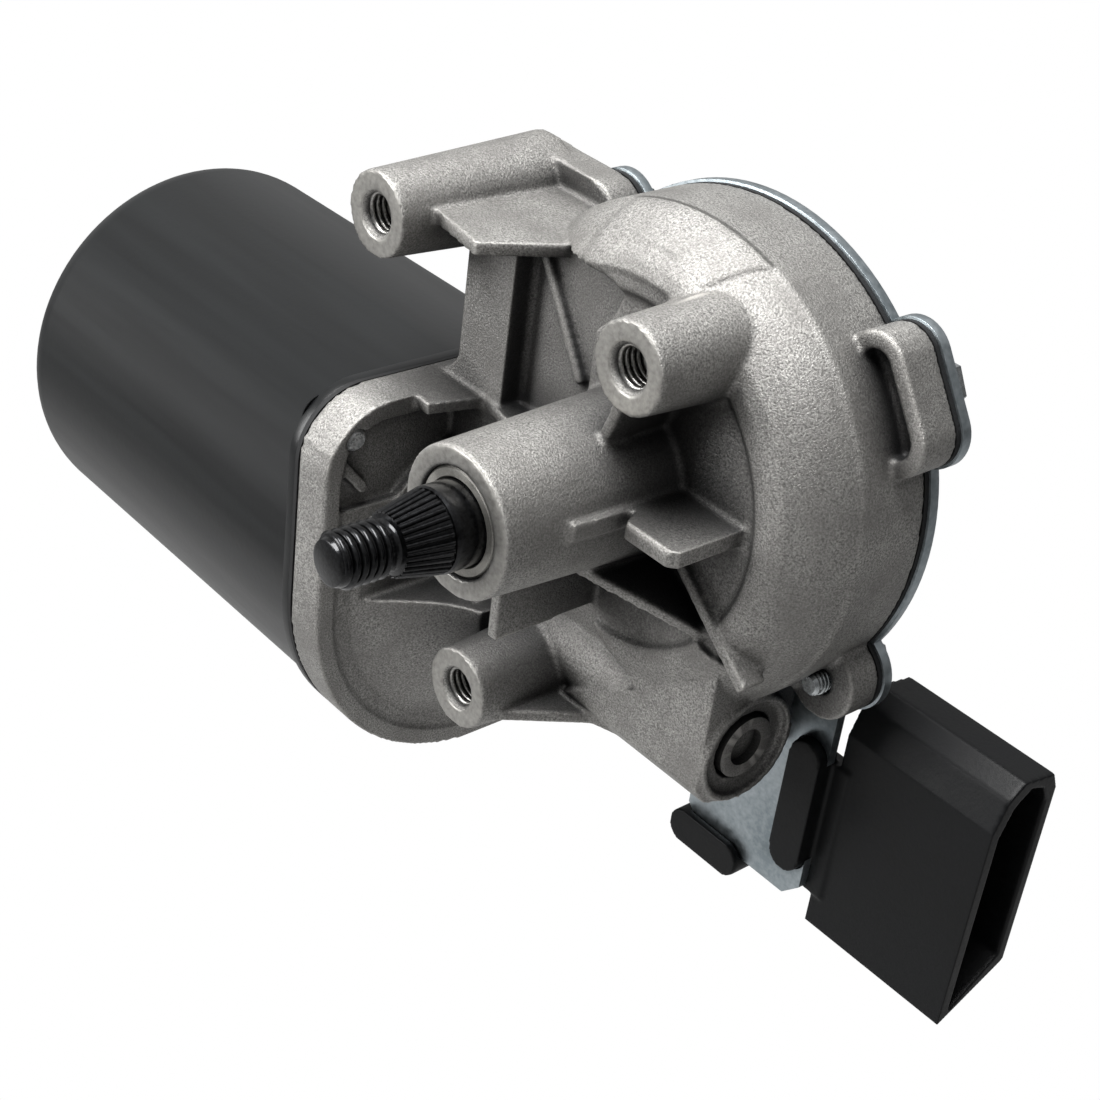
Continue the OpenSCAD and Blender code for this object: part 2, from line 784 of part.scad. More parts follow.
// stamped disc on the wheel's back, with the window that parks the blades
disc_out_share = 0.86;
disc_in_share = 0.4;
disc_track = 4.5;
disc_out_r = wheel_root_r * disc_out_share;
disc_in_r = wheel_root_r * disc_in_share;
park_angles = [40, -10];
module contact_disc() {
  color("gold") on_shaft(disc_y) linear_extrude(disc_t) difference() {
    circle(disc_out_r);
    circle(disc_in_r);
    difference() {
      circle(disc_out_r + cut);
      circle(disc_out_r - disc_track);
      rotate(park_angles[0]) translate([-disc_out_r * 2, -disc_out_r * 2]) square([disc_out_r * 4, disc_out_r * 2]);
      rotate(park_angles[1]) translate([-disc_out_r * 2, 0]) square([disc_out_r * 2, disc_out_r * 2]);
    }
  }
}

washer_inset = 0.6;
module thrust_washer() {
  color("gray") on_shaft(washer_y) tube(washer_t, wheel_hub_r - washer_inset, journal_r + run_gap);
}

// open clip with two eyes, in the groove behind the wheel
clip_w = 2.2;
clip_open_share = 0.5;
clip_eye_share = 0.62;
clip_hole_share = 0.26;
module shaft_clip() {
  r_in = clip_groove_r + seat_gap;
  eye_r = clip_w * clip_eye_share;
  color("dimgray") on_shaft(clip_y + seat_gap) linear_extrude(clip_t - 2 * seat_gap) difference() {
    union() {
      circle(r_in + clip_w);
      for (s = [-1, 1]) translate([r_in + clip_w, s * clip_w]) circle(eye_r);
    }
    circle(r_in);
    translate([0, -clip_w * clip_open_share]) square([r_in + 3 * clip_w, 2 * clip_w * clip_open_share]);
    for (s = [-1, 1]) translate([r_in + clip_w, s * clip_w]) circle(clip_w * clip_hole_share);
  }
}

// worm: one lobe swept round the shaft, its flanks those of a rack tooth
worm_crest_share = 0.16;
worm_foot_share = 0.36;
worm_slices_per_turn = 14;
worm_round_shares = [0.28, 0.39, 0.5, 0.61, 0.72];
module worm() {
  land = 180 * worm_crest_share;
  foot = 180 * worm_foot_share;
  angles = concat([-foot, -land, 0, land, foot], 360 * worm_round_shares);
  radii = [for (a = angles) abs(a) <= land ? worm_tip_r : worm_root_r];
  on_worm(-worm_half_l) rotate(180 * worm_turns) linear_extrude(2 * worm_half_l, twist = -360 * worm_turns,
                                       slices = worm_turns * worm_slices_per_turn, $fn = 12)
    polygon([for (i = [0:len(angles) - 1]) radii[i] * [cos(angles[i]), sin(angles[i])]]);
}

arm_tail_l = 2;
arm_end_x = can_end_x - arm_tail_l;
module armature_shaft() {
  color("lightsteelblue") {
    union() {
      worm();
      on_worm(-worm_half_l - cut) cylinder(h = worm_half_l + cut + end_bush_back_x, r = end_journal_r);
      on_worm(arm_end_x) cylinder(h = -worm_half_l - arm_end_x, r = arm_r);
      on_worm(end_bush_back_x) sphere(end_ball_r);
    }
  }
}

// armature core: a stack of laminations with half closed slots
com_stand = 12;
com_x = joint_x - com_stand;
bundle_l = 8;
core_share = 0.477;
core_l = can_l * core_share;
core_x = com_x - bundle_l - turn_gap - core_l;
slot_share = 0.736;
slot_r = core_r * slot_share;
slot_step = 3;
slot_w = 5.6;
slot_foot_share = 0.36;
slot_mouth = 2;
module slots2d(shrink = 0) {
  for (i = [0:slot_count - 1]) {
    rotate(360 * i / slot_count) {
      translate([slot_r - slot_step, 0]) circle(slot_w * slot_foot_share - shrink, $fn = 24);
      translate([slot_r, 0]) circle(slot_w / 2 - shrink, $fn = 24);
      if (shrink == 0) translate([slot_r, -slot_mouth / 2]) square([core_r, slot_mouth]);
    }
  }
}

module armature_core() {
  color("slategray") on_worm(core_x) linear_extrude(core_l) difference() {
    circle(core_r);
    circle(arm_r + seat_gap);
    slots2d();
  }
}

// copper wire in the slots and bundled at both ends of the core
bundle_share = 0.888;
bundle_r = core_r * bundle_share;
bundle_gap = 2;
wire_gap = 0.15;
module windings() {
  across = bundle_r - bundle_l / 2 - arm_r - bundle_gap;
  color("peru") {
    on_worm(core_x - seat_gap) linear_extrude(core_l + 2 * seat_gap) slots2d(wire_gap);
    for (x = [core_x - bundle_l - seat_gap, core_x + core_l + seat_gap]) {
      on_worm(x) rotate_extrude() translate([arm_r + bundle_gap, 0]) {
        square([across, bundle_l]);
        translate([across, bundle_l / 2]) circle(bundle_l / 2, $fn = 32);
      }
    }
  }
}

com_l = 13.4;
com_r = 11.4;
com_slot = 0.6;
com_slot_l = 1.2;
com_lip_w = 2.5;
com_lip_h = 1.8;
module commutator() {
  color("chocolate") on_worm(com_x) difference() {
    union() {
      cylinder(h = com_l, r = com_r);
      cylinder(h = com_lip_w, r = com_r + com_lip_h);
    }
    translate([0, 0, -cut]) cylinder(h = com_l + 2 * cut, r = arm_r + seat_gap);
    for (i = [0:slot_count - 1]) {
      rotate(360 * i / slot_count) translate([com_r - com_slot_l, -com_slot / 2, -cut])
        cube([com_slot_l + com_lip_h + cut, com_slot, com_l + 2 * cut]);
    }
  }
}

// deep groove ball bearing of the common 8 by 19 by 6 size
ball_ring_r = (arm_r + bearing_out_r) / 2;
module race(r_out, r_in) {
  translate([0, 0, seat_gap]) difference() {
    tube(bearing_w - 2 * seat_gap, r_out, r_in);
    translate([0, 0, bearing_w / 2 - seat_gap]) rotate_extrude() translate([ball_ring_r, 0])
      circle(ball_r + seat_gap * 2, $fn = 32);
  }
}

module bearing_inner_race() {
  color("lightgray") on_worm(bearing_x) race(arm_r + bearing_race_t, arm_r + seat_gap);
}

module bearing_outer_race() {
  color("lightgray") on_worm(bearing_x) race(bearing_out_r - seat_gap, bearing_out_r - bearing_race_t);
}

module bearing_balls() {
  color("white") on_worm(bearing_x + bearing_w / 2) for (i = [0:ball_count - 1]) {
    rotate(360 * i / ball_count) translate([ball_ring_r, 0, 0]) sphere(ball_r, $fn = 32);
  }
}

// snap ring that keeps the bearing in its seat
ring_t = 1.2;
ring_gap = 3;
module bearing_clip() {
  color("dimgray") on_worm(bearing_x - ring_t - seat_gap) linear_extrude(ring_t) difference() {
    circle(bearing_out_r - seat_gap);
    circle(bearing_out_r - bearing_race_t);
    translate([0, -ring_gap / 2]) square([bearing_out_r + cut, ring_gap]);
  }
}

module worm_end_bush() {
  color("gainsboro") on_worm(end_bush_x) tube(end_bush_l, end_bush_r, end_journal_r + run_gap);
}

module thrust_pad() {
  color("white") on_worm(pad_x) cylinder(h = pad_t, r = end_journal_r);
}

// plug that sets the end play, sunk in the end of the tunnel, with a round socket
end_plug_stand = 0.7;
socket_share = 0.6;
socket_l = 1.5;
module end_play_plug() {
  x0 = pad_x + pad_t + seat_gap;
  plug_back_l = tunnel_end_x - plug_recess + end_plug_stand - x0;
  color("silver") on_worm(x0) difference() {
    cylinder(h = plug_back_l, r = end_plug_r);
    translate([0, 0, plug_back_l - socket_l]) cylinder(h = socket_l + cut, r = end_plug_r * socket_share);
  }
}

module flange_gasket() {
  color("black") slab_x(can_front_x, gasket_t) difference() {
    flange_outline();
    translate([worm_y, worm_z]) circle(bowl_r);
    for (s = [-1, 1]) translate(flange_screw_at(s)) circle(flange_screw_r + turn_gap);
  }
}

// drawn can: flange, wall, rounded end and a small cup for the end bush
module motor_can() {
  color("darkslategray") difference() {
    union() {
      slab_x(can_front_x - sheet_t, sheet_t) flange_outline();
      on_worm(can_front_x) rotate([180, 0, 0]) rotate_extrude() {
        square([can_r, can_l - can_edge_r]);
        square([can_r - can_edge_r, can_l]);
        translate([can_r - can_edge_r, can_l - can_edge_r]) circle(can_edge_r);
        square([cup_r, can_l + cup_l - cup_edge_r]);
        square([cup_r - cup_edge_r, can_l + cup_l]);
        translate([cup_r - cup_edge_r, can_l + cup_l - cup_edge_r]) circle(cup_edge_r);
      }
    }
    on_worm(can_front_x + cut) rotate([180, 0, 0]) rotate_extrude() {
      square([can_in_r, cut + can_l - can_edge_r]);
      square([can_in_r - can_edge_r + can_wall, cut + can_l - can_wall]);
      translate([can_r - can_edge_r, cut + can_l - can_edge_r]) circle(can_edge_r - can_wall);
      square([cup_r - can_wall, cut + can_l + cup_l - can_wall]);
    }
    for (s = [-1, 1]) {
      translate([can_front_x - sheet_t - cut, flange_screw_at(s)[0], flange_screw_at(s)[1]])
        rotate([0, 90, 0]) cylinder(h = sheet_t + 2 * cut, r = flange_screw_r + turn_gap);
    }
  }
}

// screw with a hexagon flange head, standing on its own z axis, head below
flats_share = 1.75;
head_share = 1.5;
collar_share = 0.52;
collar_r_share = 2.1;
module hex_screw(r, l, grip) {
  head_l = r * head_share;
  cylinder(h = l, r = r);
  translate([0, 0, -grip]) {
    cylinder(h = grip + seat_gap, r = r);
    translate([0, 0, -r * collar_share]) cylinder(h = r * collar_share, r = r * collar_r_share);
    translate([0, 0, -head_l]) cylinder(h = head_l, r = r * flats_share / cos(30), $fn = 6);
  }
}

// low round head on the can's side, and a tip that shows in the flange's pocket
screw_show = 1.6;
low_head_shares = [0.7, 1.2, 1.8];
module flange_screws() {
  grip = gasket_t + sheet_t;
  head_l = flange_screw_r * low_head_shares[0];
  color("dimgray") for (s = [-1, 1]) {
    translate([joint_x - grip, flange_screw_at(s)[0], flange_screw_at(s)[1]]) rotate([0, 90, 0]) {
      cylinder(h = grip + flange_l - rim_h + screw_show, r = flange_screw_r);
      translate([0, 0, -head_l]) cylinder(h = head_l, r1 = flange_screw_r * low_head_shares[1],
                                          r2 = flange_screw_r * low_head_shares[2]);
    }
  }
}

// two shell magnets on the can's wall
magnet_share = 1.19;
magnet_l = core_l * magnet_share;
magnet_x = core_x - (magnet_l - core_l) / 2;
magnet_t = 6.4;
magnet_angle = 132;
module magnets() {
  color("dimgray") on_worm(magnet_x) for (a = [0, 180]) {
    rotate(a - magnet_angle / 2) rotate_extrude(angle = magnet_angle)
      translate([can_in_r - seat_gap - magnet_t, 0]) square([magnet_t, magnet_l]);
  }
}

// bowed strips that wedge the magnets apart
spring_t = 1;
spring_gap_angle = 4;
spring_share = 0.8;
module magnet_springs() {
  side = 180 - magnet_angle - spring_gap_angle;
  spring_l = magnet_l * spring_share;
  color("silver") on_worm(magnet_x + (magnet_l - spring_l) / 2) for (a = [90, 270]) {
    rotate(a - side / 2) rotate_extrude(angle = side)
      translate([can_in_r - seat_gap - spring_t, 0]) square([spring_t, spring_l]);
  }
}

// self-aligning bush in the closed end of the can
can_bush_r = 7;
can_bush_gap = 0.4;
can_bush_share = 0.8;
can_ball_share = 1.08;
module can_bush() {
  half = can_bush_r * can_bush_share;
  color("gainsboro") on_worm(can_end_x - cup_l + can_wall + can_bush_gap) difference() {
    intersection() {
      cylinder(h = 2 * half, r = can_bush_r);
      translate([0, 0, half]) sphere(can_bush_r * can_ball_share);
    }
    translate([0, 0, -cut]) cylinder(h = 2 * half + 2 * cut, r = arm_r + run_gap);
  }
}

// sheet ring that holds the bush against the cup
retainer_inset = 2;
module bush_retainer() {
  color("silver") on_worm(can_end_x + can_wall + seat_gap)
    tube(can_wall, can_in_r - can_edge_r - retainer_inset, can_bush_r * can_ball_share + seat_gap);
}

// card that carries three brushes round the commutator
plate_t = 2;
plate_inset = 0.6;
plate_x = joint_x + plate_inset;
plate_r = bowl_r - plate_inset;
plate_hole_gap = 0.8;
box_w = 8.4;
box_h = 8.6;
box_gap = 2.4;
box_inset = 2;
box_in_r = com_r + box_gap;
box_out_r = bowl_r - box_inset;
brush_angles = [90, 270, 30];
module brush_plate() {
  color("saddlebrown") on_worm(plate_x) difference() {
    cylinder(h = plate_t, r = plate_r);
    translate([0, 0, -cut]) cylinder(h = plate_t + 2 * cut, r = com_r + plate_hole_gap);
  }
}

box_wall = 0.7;
module brush_boxes() {
  color("gold") for (a = brush_angles) {
    on_worm(plate_x - box_h - seat_gap) rotate(a) difference() {
      translate([box_in_r, -box_w / 2, 0]) cube([box_out_r - box_in_r, box_w, box_h]);
      translate([box_in_r - cut, -box_w / 2 + box_wall, box_wall])
        cube([box_out_r - box_in_r + cut - box_wall, box_w - 2 * box_wall, box_h - 2 * box_wall]);
    }
  }
}

brush_l = 9;
brush_slack = 0.15;
module brushes() {
  w = box_w - 2 * box_wall - 2 * brush_slack;
  h = box_h - 2 * box_wall - 2 * brush_slack;
  color("black") for (a = brush_angles) {
    on_worm(plate_x - box_h - seat_gap) rotate(a) difference() {
      translate([com_r - cut, -w / 2, box_wall + brush_slack]) cube([brush_l + cut, w, h]);
      cylinder(h = box_h, r = com_r + turn_gap / 2);
    }
  }
}

spring_wire_r = 0.35;
spring_coil_r = 2.4;
spring_turns = 4;
wire_stretch_share = 2.2;
module brush_springs() {
  r0 = com_r + brush_l + spring_wire_r + seat_gap;
  l = box_out_r - box_wall - spring_wire_r - r0 - seat_gap;
  color("silver") for (a = brush_angles) {
    on_worm(plate_x - box_h / 2 - seat_gap) rotate(a) translate([r0, 0, 0]) rotate([0, 90, 0])
      linear_extrude(l, twist = -360 * spring_turns, slices = 9 * spring_turns, $fn = 6)
        translate([spring_coil_r, 0]) scale([1, wire_stretch_share]) circle(spring_wire_r, $fn = 6);
  }
}

choke_r = 2.3;
choke_l = 12;
choke_share = 0.737;
choke_angles = [150, 215];
module choke_coils() {
  color("peru") for (a = choke_angles) {
    on_worm(plate_x - choke_r - seat_gap) rotate(a) translate([bowl_r * choke_share, -choke_l / 2, 0])
      rotate([-90, 0, 0]) cylinder(h = choke_l, r = choke_r);
  }
}

module cover_gasket() {
  color("black") difference() {
    slab_y(gasket_y, gasket_t) difference() {
      case_outline();
      circle(cavity_r);
      flange_clear2d();
      for (i = [0:3]) translate(screw_at(i)) circle(cover_screw_r + turn_gap);
    }
    dome(turn_gap);
  }
}

// window of the cover that the contact carrier passes
window_x = 4;
window_z = -disc_out_r;
window_w = 15;
window_h = 13;
arm_side = 1.5;
arm_drop = 24;
dish_share = 0.74;
dish_r = case_r * dish_share;
dish_l = 2.4;
lug_gap = 0.2;
lug_w = 6;
lug_x = 26.4;
lug_top_z = -41;
lug_low_z = -59;
module lugs2d(grow = 0) {
  bar2d([lug_x, lug_top_z], [lug_x, lug_low_z], lug_w + 2 * grow);
}

// footprint of the contact arm on the cover's back
module arm2d(grow = 0) {
  translate([window_x - arm_side - grow, window_z - arm_drop])
    square([window_w + 2 * (arm_side + grow), window_h + arm_drop + arm_side + grow]);
}

cover_overhang = 0.4;
module rear_cover() {
  color("lightsteelblue") difference() {
    union() {
      slab_y(cover_y, cover_t) difference() {
        union() {
          case_outline(cover_overhang);
          tab_outline();
        }
        flange_clear2d();
      }
      difference() {
        on_shaft(cover_y) cylinder(h = cover_t + dish_l, r1 = dish_r + dish_l, r2 = dish_r);
        slab_y(cover_back_y, dish_l + cut) arm2d(turn_gap);
      }
    }
    difference() {
      on_shaft(cover_y - cut) cylinder(h = cut + dish_l, r1 = dish_r + cut, r2 = dish_r - cover_t);
      slab_y(cover_y, cover_t) arm2d(turn_gap + cover_t);
    }
    dome(turn_gap);
    slab_y(cover_y - cut, cover_t + dish_l + 2 * cut)
      translate([window_x, window_z]) square([window_w, window_h]);
    slab_y(cover_y - cut, cover_t + 2 * cut) lugs2d(lug_gap);
    for (i = [0:3]) {
      translate([screw_at(i)[0], cover_y - cut, screw_at(i)[1]]) rotate([-90, 0, 0])
        cylinder(h = cover_t + 2 * cut, r = cover_screw_r + turn_gap);
    }
  }
}

module cover_screws() {
  grip = gasket_t + cover_t;
  color("lightsteelblue") for (i = [0:3]) {
    translate([screw_at(i)[0], case_back_y, screw_at(i)[1]]) rotate([90, 0, 0])
      hex_screw(cover_screw_r, screw_in_l[i], grip);
  }
}

// plug shell behind the tab, with its carrier plate, lugs and contact arm
carrier_t = 3;
carrier_inset = 1;
carrier_h = 24;
plug_gap = 0.4;
plug_stand = 1;
plug_x = tab_right_x + plug_stand;
plug_y = cover_back_y + plug_gap;
plug_top_z = -28;
plug_low_z = plug_top_z - plug_h;
plug_floor_l = 5;
plug_corner_share = 0.42;
lug_stand = 1.6;
low_lug_x = [6, 15];
low_lug_drop = 1;
root_step = 1;
module plug_outline(inset = 0) {
  y0 = plug_y + inset;
  y1 = plug_y + plug_w - inset;
  z0 = plug_low_z + inset;
  z1 = plug_top_z - inset;
  c = plug_w * plug_corner_share;
  polygon([
    [y0, z0],
    [y1, z0 + c * 1.2],
    [y1, z1 - c * 0.7],
    [y1 - c * 0.25, z1 - c * 0.2],
    [y0 + c * 0.9, z1],
    [y0 + c * 0.35, z1 - c * 0.4],
    [y0, z1 - c * 1.3]
  ]);
}

module plug_housing() {
  low_lug_z = tab_low_z - low_lug_drop;
  color("black") {
    difference() {
      union() {
        slab_x(plug_x, plug_l) plug_outline();
        slab_y(cover_back_y, carrier_t) {
          translate([tab_left_x + carrier_inset, tab_low_z + 2 * carrier_inset])
            square([tab_right_x - tab_left_x + 2 * carrier_inset, carrier_h]);
          arm2d();
        }
        slab_y(cover_y - lug_stand, cover_t + lug_stand + cut) lugs2d();
        slab_y(cover_y - lug_stand, cover_t + lug_stand + carrier_t)
          bar2d([low_lug_x[0], low_lug_z], [low_lug_x[1], low_lug_z], lug_w);
        slab_y(gasket_y - root_step, cover_t + gasket_t + root_step + cut)
          translate([window_x + lug_gap, window_z + lug_gap])
            square([window_w - 2 * lug_gap, window_h - 2 * lug_gap]);
      }
      slab_x(plug_x + plug_floor_l, plug_l) plug_outline(plug_wall);
      slab_y(cover_y - lug_gap, cover_t + 2 * lug_gap) difference() {
        tab_outline();
        translate([window_x, window_z]) square([window_w, window_h]);
        lugs2d();
      }
    }
  }
}

// flat contact blades, in a row behind the plug's mouth
blade_t = 0.8;
blade_w = 2.8;
blade_l = 12;
blade_pitch = 6;
module plug_blades() {
  z0 = (plug_top_z + plug_low_z) / 2 - blade_pitch * (blade_count - 1) / 2;
  color("lightgray") for (i = [0:blade_count - 1]) {
    translate([plug_x + plug_floor_l + seat_gap, plug_y + (plug_w - blade_w) / 2,
               z0 + blade_pitch * i - blade_t / 2])
      cube([blade_l, blade_w, blade_t]);
  }
}

// three sprung fingers that ride on the contact disc
finger_w = 2.4;
finger_t = 0.5;
finger_pitch = 3.8;
finger_reach = 13;
finger_root_l = 4;
finger_tip_l = 2;
module contact_fingers() {
  y_root = gasket_y - root_step - seat_gap;
  y_tip = wheel_back_y + turn_gap;
  x_root = window_x + window_w / 2;
  x_tip = x_root - finger_reach;
  color("goldenrod") for (i = [0:2]) {
    slab_z(window_z + finger_w + finger_pitch * i, finger_w) polygon([
      [x_root + finger_root_l, y_root],
      [x_root + finger_root_l, y_root - finger_t],
      [x_root, y_root - finger_t],
      [x_tip, y_tip],
      [x_tip - finger_tip_l, y_tip],
      [x_tip - finger_tip_l, y_tip + finger_t],
      [x_tip, y_tip + finger_t],
      [x_root, y_root]
    ]);
  }
}

gear_housing();
front_bush();
rear_bush();
shaft_seal();
output_shaft();
worm_wheel();
contact_disc();
thrust_washer();
shaft_clip();
armature_shaft();
armature_core();
windings();
commutator();
bearing_inner_race();
bearing_balls();
bearing_outer_race();
bearing_clip();
worm_end_bush();
thrust_pad();
end_play_plug();
flange_gasket();
motor_can();
flange_screws();
magnets();
magnet_springs();
can_bush();
bush_retainer();
brush_plate();
brush_boxes();
brushes();
brush_springs();
choke_coils();
cover_gasket();
rear_cover();
cover_screws();
contact_fingers();
plug_housing();
plug_blades();
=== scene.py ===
import bmesh
import bpy
import math
from mathutils import Matrix, Vector


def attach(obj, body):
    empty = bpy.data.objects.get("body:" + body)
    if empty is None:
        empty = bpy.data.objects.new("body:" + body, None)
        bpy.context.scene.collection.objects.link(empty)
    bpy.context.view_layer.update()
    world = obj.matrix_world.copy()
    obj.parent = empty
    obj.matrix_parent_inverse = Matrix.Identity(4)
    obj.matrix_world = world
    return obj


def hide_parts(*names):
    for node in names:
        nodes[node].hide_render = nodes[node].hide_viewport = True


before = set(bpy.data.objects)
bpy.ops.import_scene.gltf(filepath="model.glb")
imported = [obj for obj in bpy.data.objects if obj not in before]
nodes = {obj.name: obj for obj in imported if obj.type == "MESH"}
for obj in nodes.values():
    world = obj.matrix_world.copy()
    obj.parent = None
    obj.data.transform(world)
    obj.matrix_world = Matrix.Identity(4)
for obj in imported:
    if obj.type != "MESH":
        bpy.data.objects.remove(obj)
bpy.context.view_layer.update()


# camera
# Seen from the shaft's side, the right and above, as fitted to the photograph's edges.
def placed(name, data):
    """Puts an object that holds a mesh, a lamp or a camera in the scene."""
    made = bpy.data.objects.new(name, data)
    bpy.context.scene.collection.objects.link(made)
    return made


cam = placed("camera", bpy.data.cameras.new("camera"))
bpy.context.scene.camera = cam
cam.data.sensor_width = 36
cam.data.lens = 65.25
cam.data.clip_start = 0.01
cam.data.clip_end = 10
cam_place = (0.1692, -0.1612, 0.1325)
cam_roll = math.radians(7.63)
cam_back = Vector((0.61678, -0.59291, 0.51773))
cam_right = Vector((0.69302, 0.72092, 0.0))
cam_up = cam_back.cross(cam_right)
turned_right = cam_right * math.cos(cam_roll) + cam_up * math.sin(cam_roll)
turned_up = cam_up * math.cos(cam_roll) - cam_right * math.sin(cam_roll)
cam_turn = Matrix((turned_right, turned_up, cam_back)).transposed().to_4x4()
cam.matrix_world = Matrix.Translation(cam_place) @ cam_turn
bpy.context.scene.view_settings.view_transform = "Standard"


# light
# Plain soft studio light: a wide bank overhead, a tall one at the shaft's side, a weak fill
# from the right, and a pale world that the metal mirrors.
def lamp(name, place, target, width, height, watts):
    """A rectangular lamp at a place, turned to its target."""
    data = bpy.data.lights.new(name, "AREA")
    data.shape = "RECTANGLE"
    data.size = width
    data.size_y = height
    data.energy = watts
    made = placed(name, data)
    made.location = place
    made.rotation_euler = (Vector(place) - Vector(target)).to_track_quat("Z", "Y").to_euler()


def add(tree, kind, inputs=None, **settings):
    """Adds a node to a tree. Inputs are values, or sockets to link."""
    made = tree.nodes.new(kind)
    for name, value in settings.items():
        setattr(made, name, value)
    for name, value in (inputs or {}).items():
        if isinstance(value, bpy.types.NodeSocket):
            tree.links.new(value, made.inputs[name])
        else:
            made.inputs[name].default_value = value
    return made


lamp("bank_overhead", (-0.12, -0.18, 0.85), (-0.02, 0.0, 0.0), 0.6, 0.4, 14.5)
lamp("bank_left", (-0.55, -0.75, 0.25), (-0.03, 0.0, 0.0), 0.3, 0.6, 6.5)
lamp("fill_right", (0.85, -0.25, 0.1), (0.0, 0.0, 0.0), 0.5, 0.6, 0.3)

# The world is white where the camera looks into it. All other rays find it dim below and at the
# right, and bright above and at the left.
bright_side, dim, bright = (-0.5, 0.1, 0.86), 0.03, 0.5
world = bpy.data.worlds.new("studio")
bpy.context.scene.world = world
world.use_nodes = True
wt = world.node_tree
wt.nodes.clear()
w_path = add(wt, "ShaderNodeLightPath")
w_sees = add(wt, "ShaderNodeMath", {
    0: w_path.outputs["Is Camera Ray"], 1: w_path.outputs["Is Transmission Ray"]},
    operation="MAXIMUM")
w_where = add(wt, "ShaderNodeTexCoord")
w_side = add(wt, "ShaderNodeVectorMath", {0: w_where.outputs["Generated"], 1: bright_side},
             operation="DOT_PRODUCT")
w_tone = add(wt, "ShaderNodeMapRange", {
    "Value": w_side.outputs["Value"], "From Min": -0.6, "From Max": 0.9,
    "To Min": dim, "To Max": bright}, interpolation_type="SMOOTHSTEP")
w_level = add(wt, "ShaderNodeMapRange", {
    "Value": w_sees.outputs[0], "To Min": w_tone.outputs[0], "To Max": 1.0})
w_shade = add(wt, "ShaderNodeBackground", {"Color": (1, 1, 1, 1), "Strength": w_level.outputs[0]})
add(wt, "ShaderNodeOutputWorld", {"Surface": w_shade.outputs[0]})


# floor
# Plain pale floor, far enough below that the part hangs over it as in a cut-out studio photo.
def lin(code):
    """Linear colour of an sRGB hex code."""
    parts = [int(code[i:i + 2], 16) / 255 for i in (1, 3, 5)]
    return [c / 12.92 if c <= 0.04045 else ((c + 0.055) / 1.055) ** 2.4 for c in parts] + [1.0]


floor_half, floor_z = 4, -0.6
floor_mesh = bpy.data.meshes.new("floor")
floor_mesh.from_pydata([(x * floor_half, y * floor_half, floor_z)
                        for x, y in ((-1, -1), (1, -1), (1, 1), (-1, 1))], [], [(0, 1, 2, 3)])
floor = placed("floor", floor_mesh)
floor_mat = bpy.data.materials.new("pale_studio_floor")
floor_mat.use_nodes = True
ft = floor_mat.node_tree
ft.nodes.clear()
f_path = add(ft, "ShaderNodeLightPath")
f_matt = add(ft, "ShaderNodeBsdfDiffuse", {"Color": lin("#bfbfbf")})
f_glow = add(ft, "ShaderNodeEmission", {"Color": (1, 1, 1, 1), "Strength": 1.0})
f_mix = add(ft, "ShaderNodeMixShader", {
    0: f_path.outputs["Is Camera Ray"], 1: f_matt.outputs[0], 2: f_glow.outputs[0]})
add(ft, "ShaderNodeOutputMaterial", {"Surface": f_mix.outputs[0]})
floor.data.materials.append(floor_mat)


# gear housing
# Die-cast aluminium, as cast: a grey sandy skin with soft edges. The mounting faces and the front
# of the central boss are machined afterwards, so they are smoother and lighter. Painted shade
# darkens the corners and recesses.
def surface(name, **values):
    """A material with a Principled shader, and its tree and object position in millimetres."""
    mat = bpy.data.materials.new(name)
    mat.use_nodes = True
    tree = mat.node_tree
    bsdf = next(n for n in tree.nodes if n.type == "BSDF_PRINCIPLED")
    for key, value in values.items():
        bsdf.inputs[key.replace("_", " ")].default_value = value
    where = add(tree, "ShaderNodeTexCoord")
    mm = add(tree, "ShaderNodeVectorMath", {0: where.outputs["Object"], 1: (1000, 1000, 1000)},
             operation="MULTIPLY")
    return mat, tree, bsdf, mm.outputs[0]


def noise(tree, mm, scale, detail=2.0, rough=0.5):
    """Noise of a given number of cells per millimetre."""
    return add(tree, "ShaderNodeTexNoise", {
        "Vector": mm, "Scale": scale, "Detail": detail, "Roughness": rough}).outputs["Fac"]


def span(tree, value, low, high, a=0.0, b=1.0):
    """A number that goes from a to b as a value goes from low to high."""
    return add(tree, "ShaderNodeMapRange", {
        "Value": value, "From Min": low, "From Max": high, "To Min": a, "To Max": b}).outputs[0]


def ramp(tree, value, low, high, a, b):
    """A colour that goes from a to b as a value goes from low to high."""
    mixed = add(tree, "ShaderNodeMix", {0: span(tree, value, low, high)}, data_type="RGBA")
    for socket, colour in ((6, a), (7, b)):
        if isinstance(colour, bpy.types.NodeSocket):
            tree.links.new(colour, mixed.inputs[socket])
        else:
            mixed.inputs[socket].default_value = lin(colour)
    return mixed.outputs[2]


def math_node(tree, operation, a, b=0.0):
    """The outcome of one sum in a node tree."""
    return add(tree, "ShaderNodeMath", {0: a, 1: b}, operation=operation).outputs[0]


def dress(tree, bsdf, colour, rough, height=None, strength=0.0, depth=0.0001):
    """Gives a shader its colour and roughness, and relief where there is a height for it."""
    tree.links.new(colour, bsdf.inputs["Base Color"])
    tree.links.new(rough, bsdf.inputs["Roughness"])
    if height:
        bump = add(tree, "ShaderNodeBump", {"Height": height, "Strength": strength, "Distance": depth})
        tree.links.new(bump.outputs[0], bsdf.inputs["Normal"])


def fresh(name, mesh, mat, body, slot, *stands_for):
    """Puts a finished mesh in the scene as a piece of the object."""
    made = placed(name, mesh)
    made.data.materials.clear()
    made.data.materials.append(mat)
    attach(made, body)
    if stands_for:
        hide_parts(*stands_for)


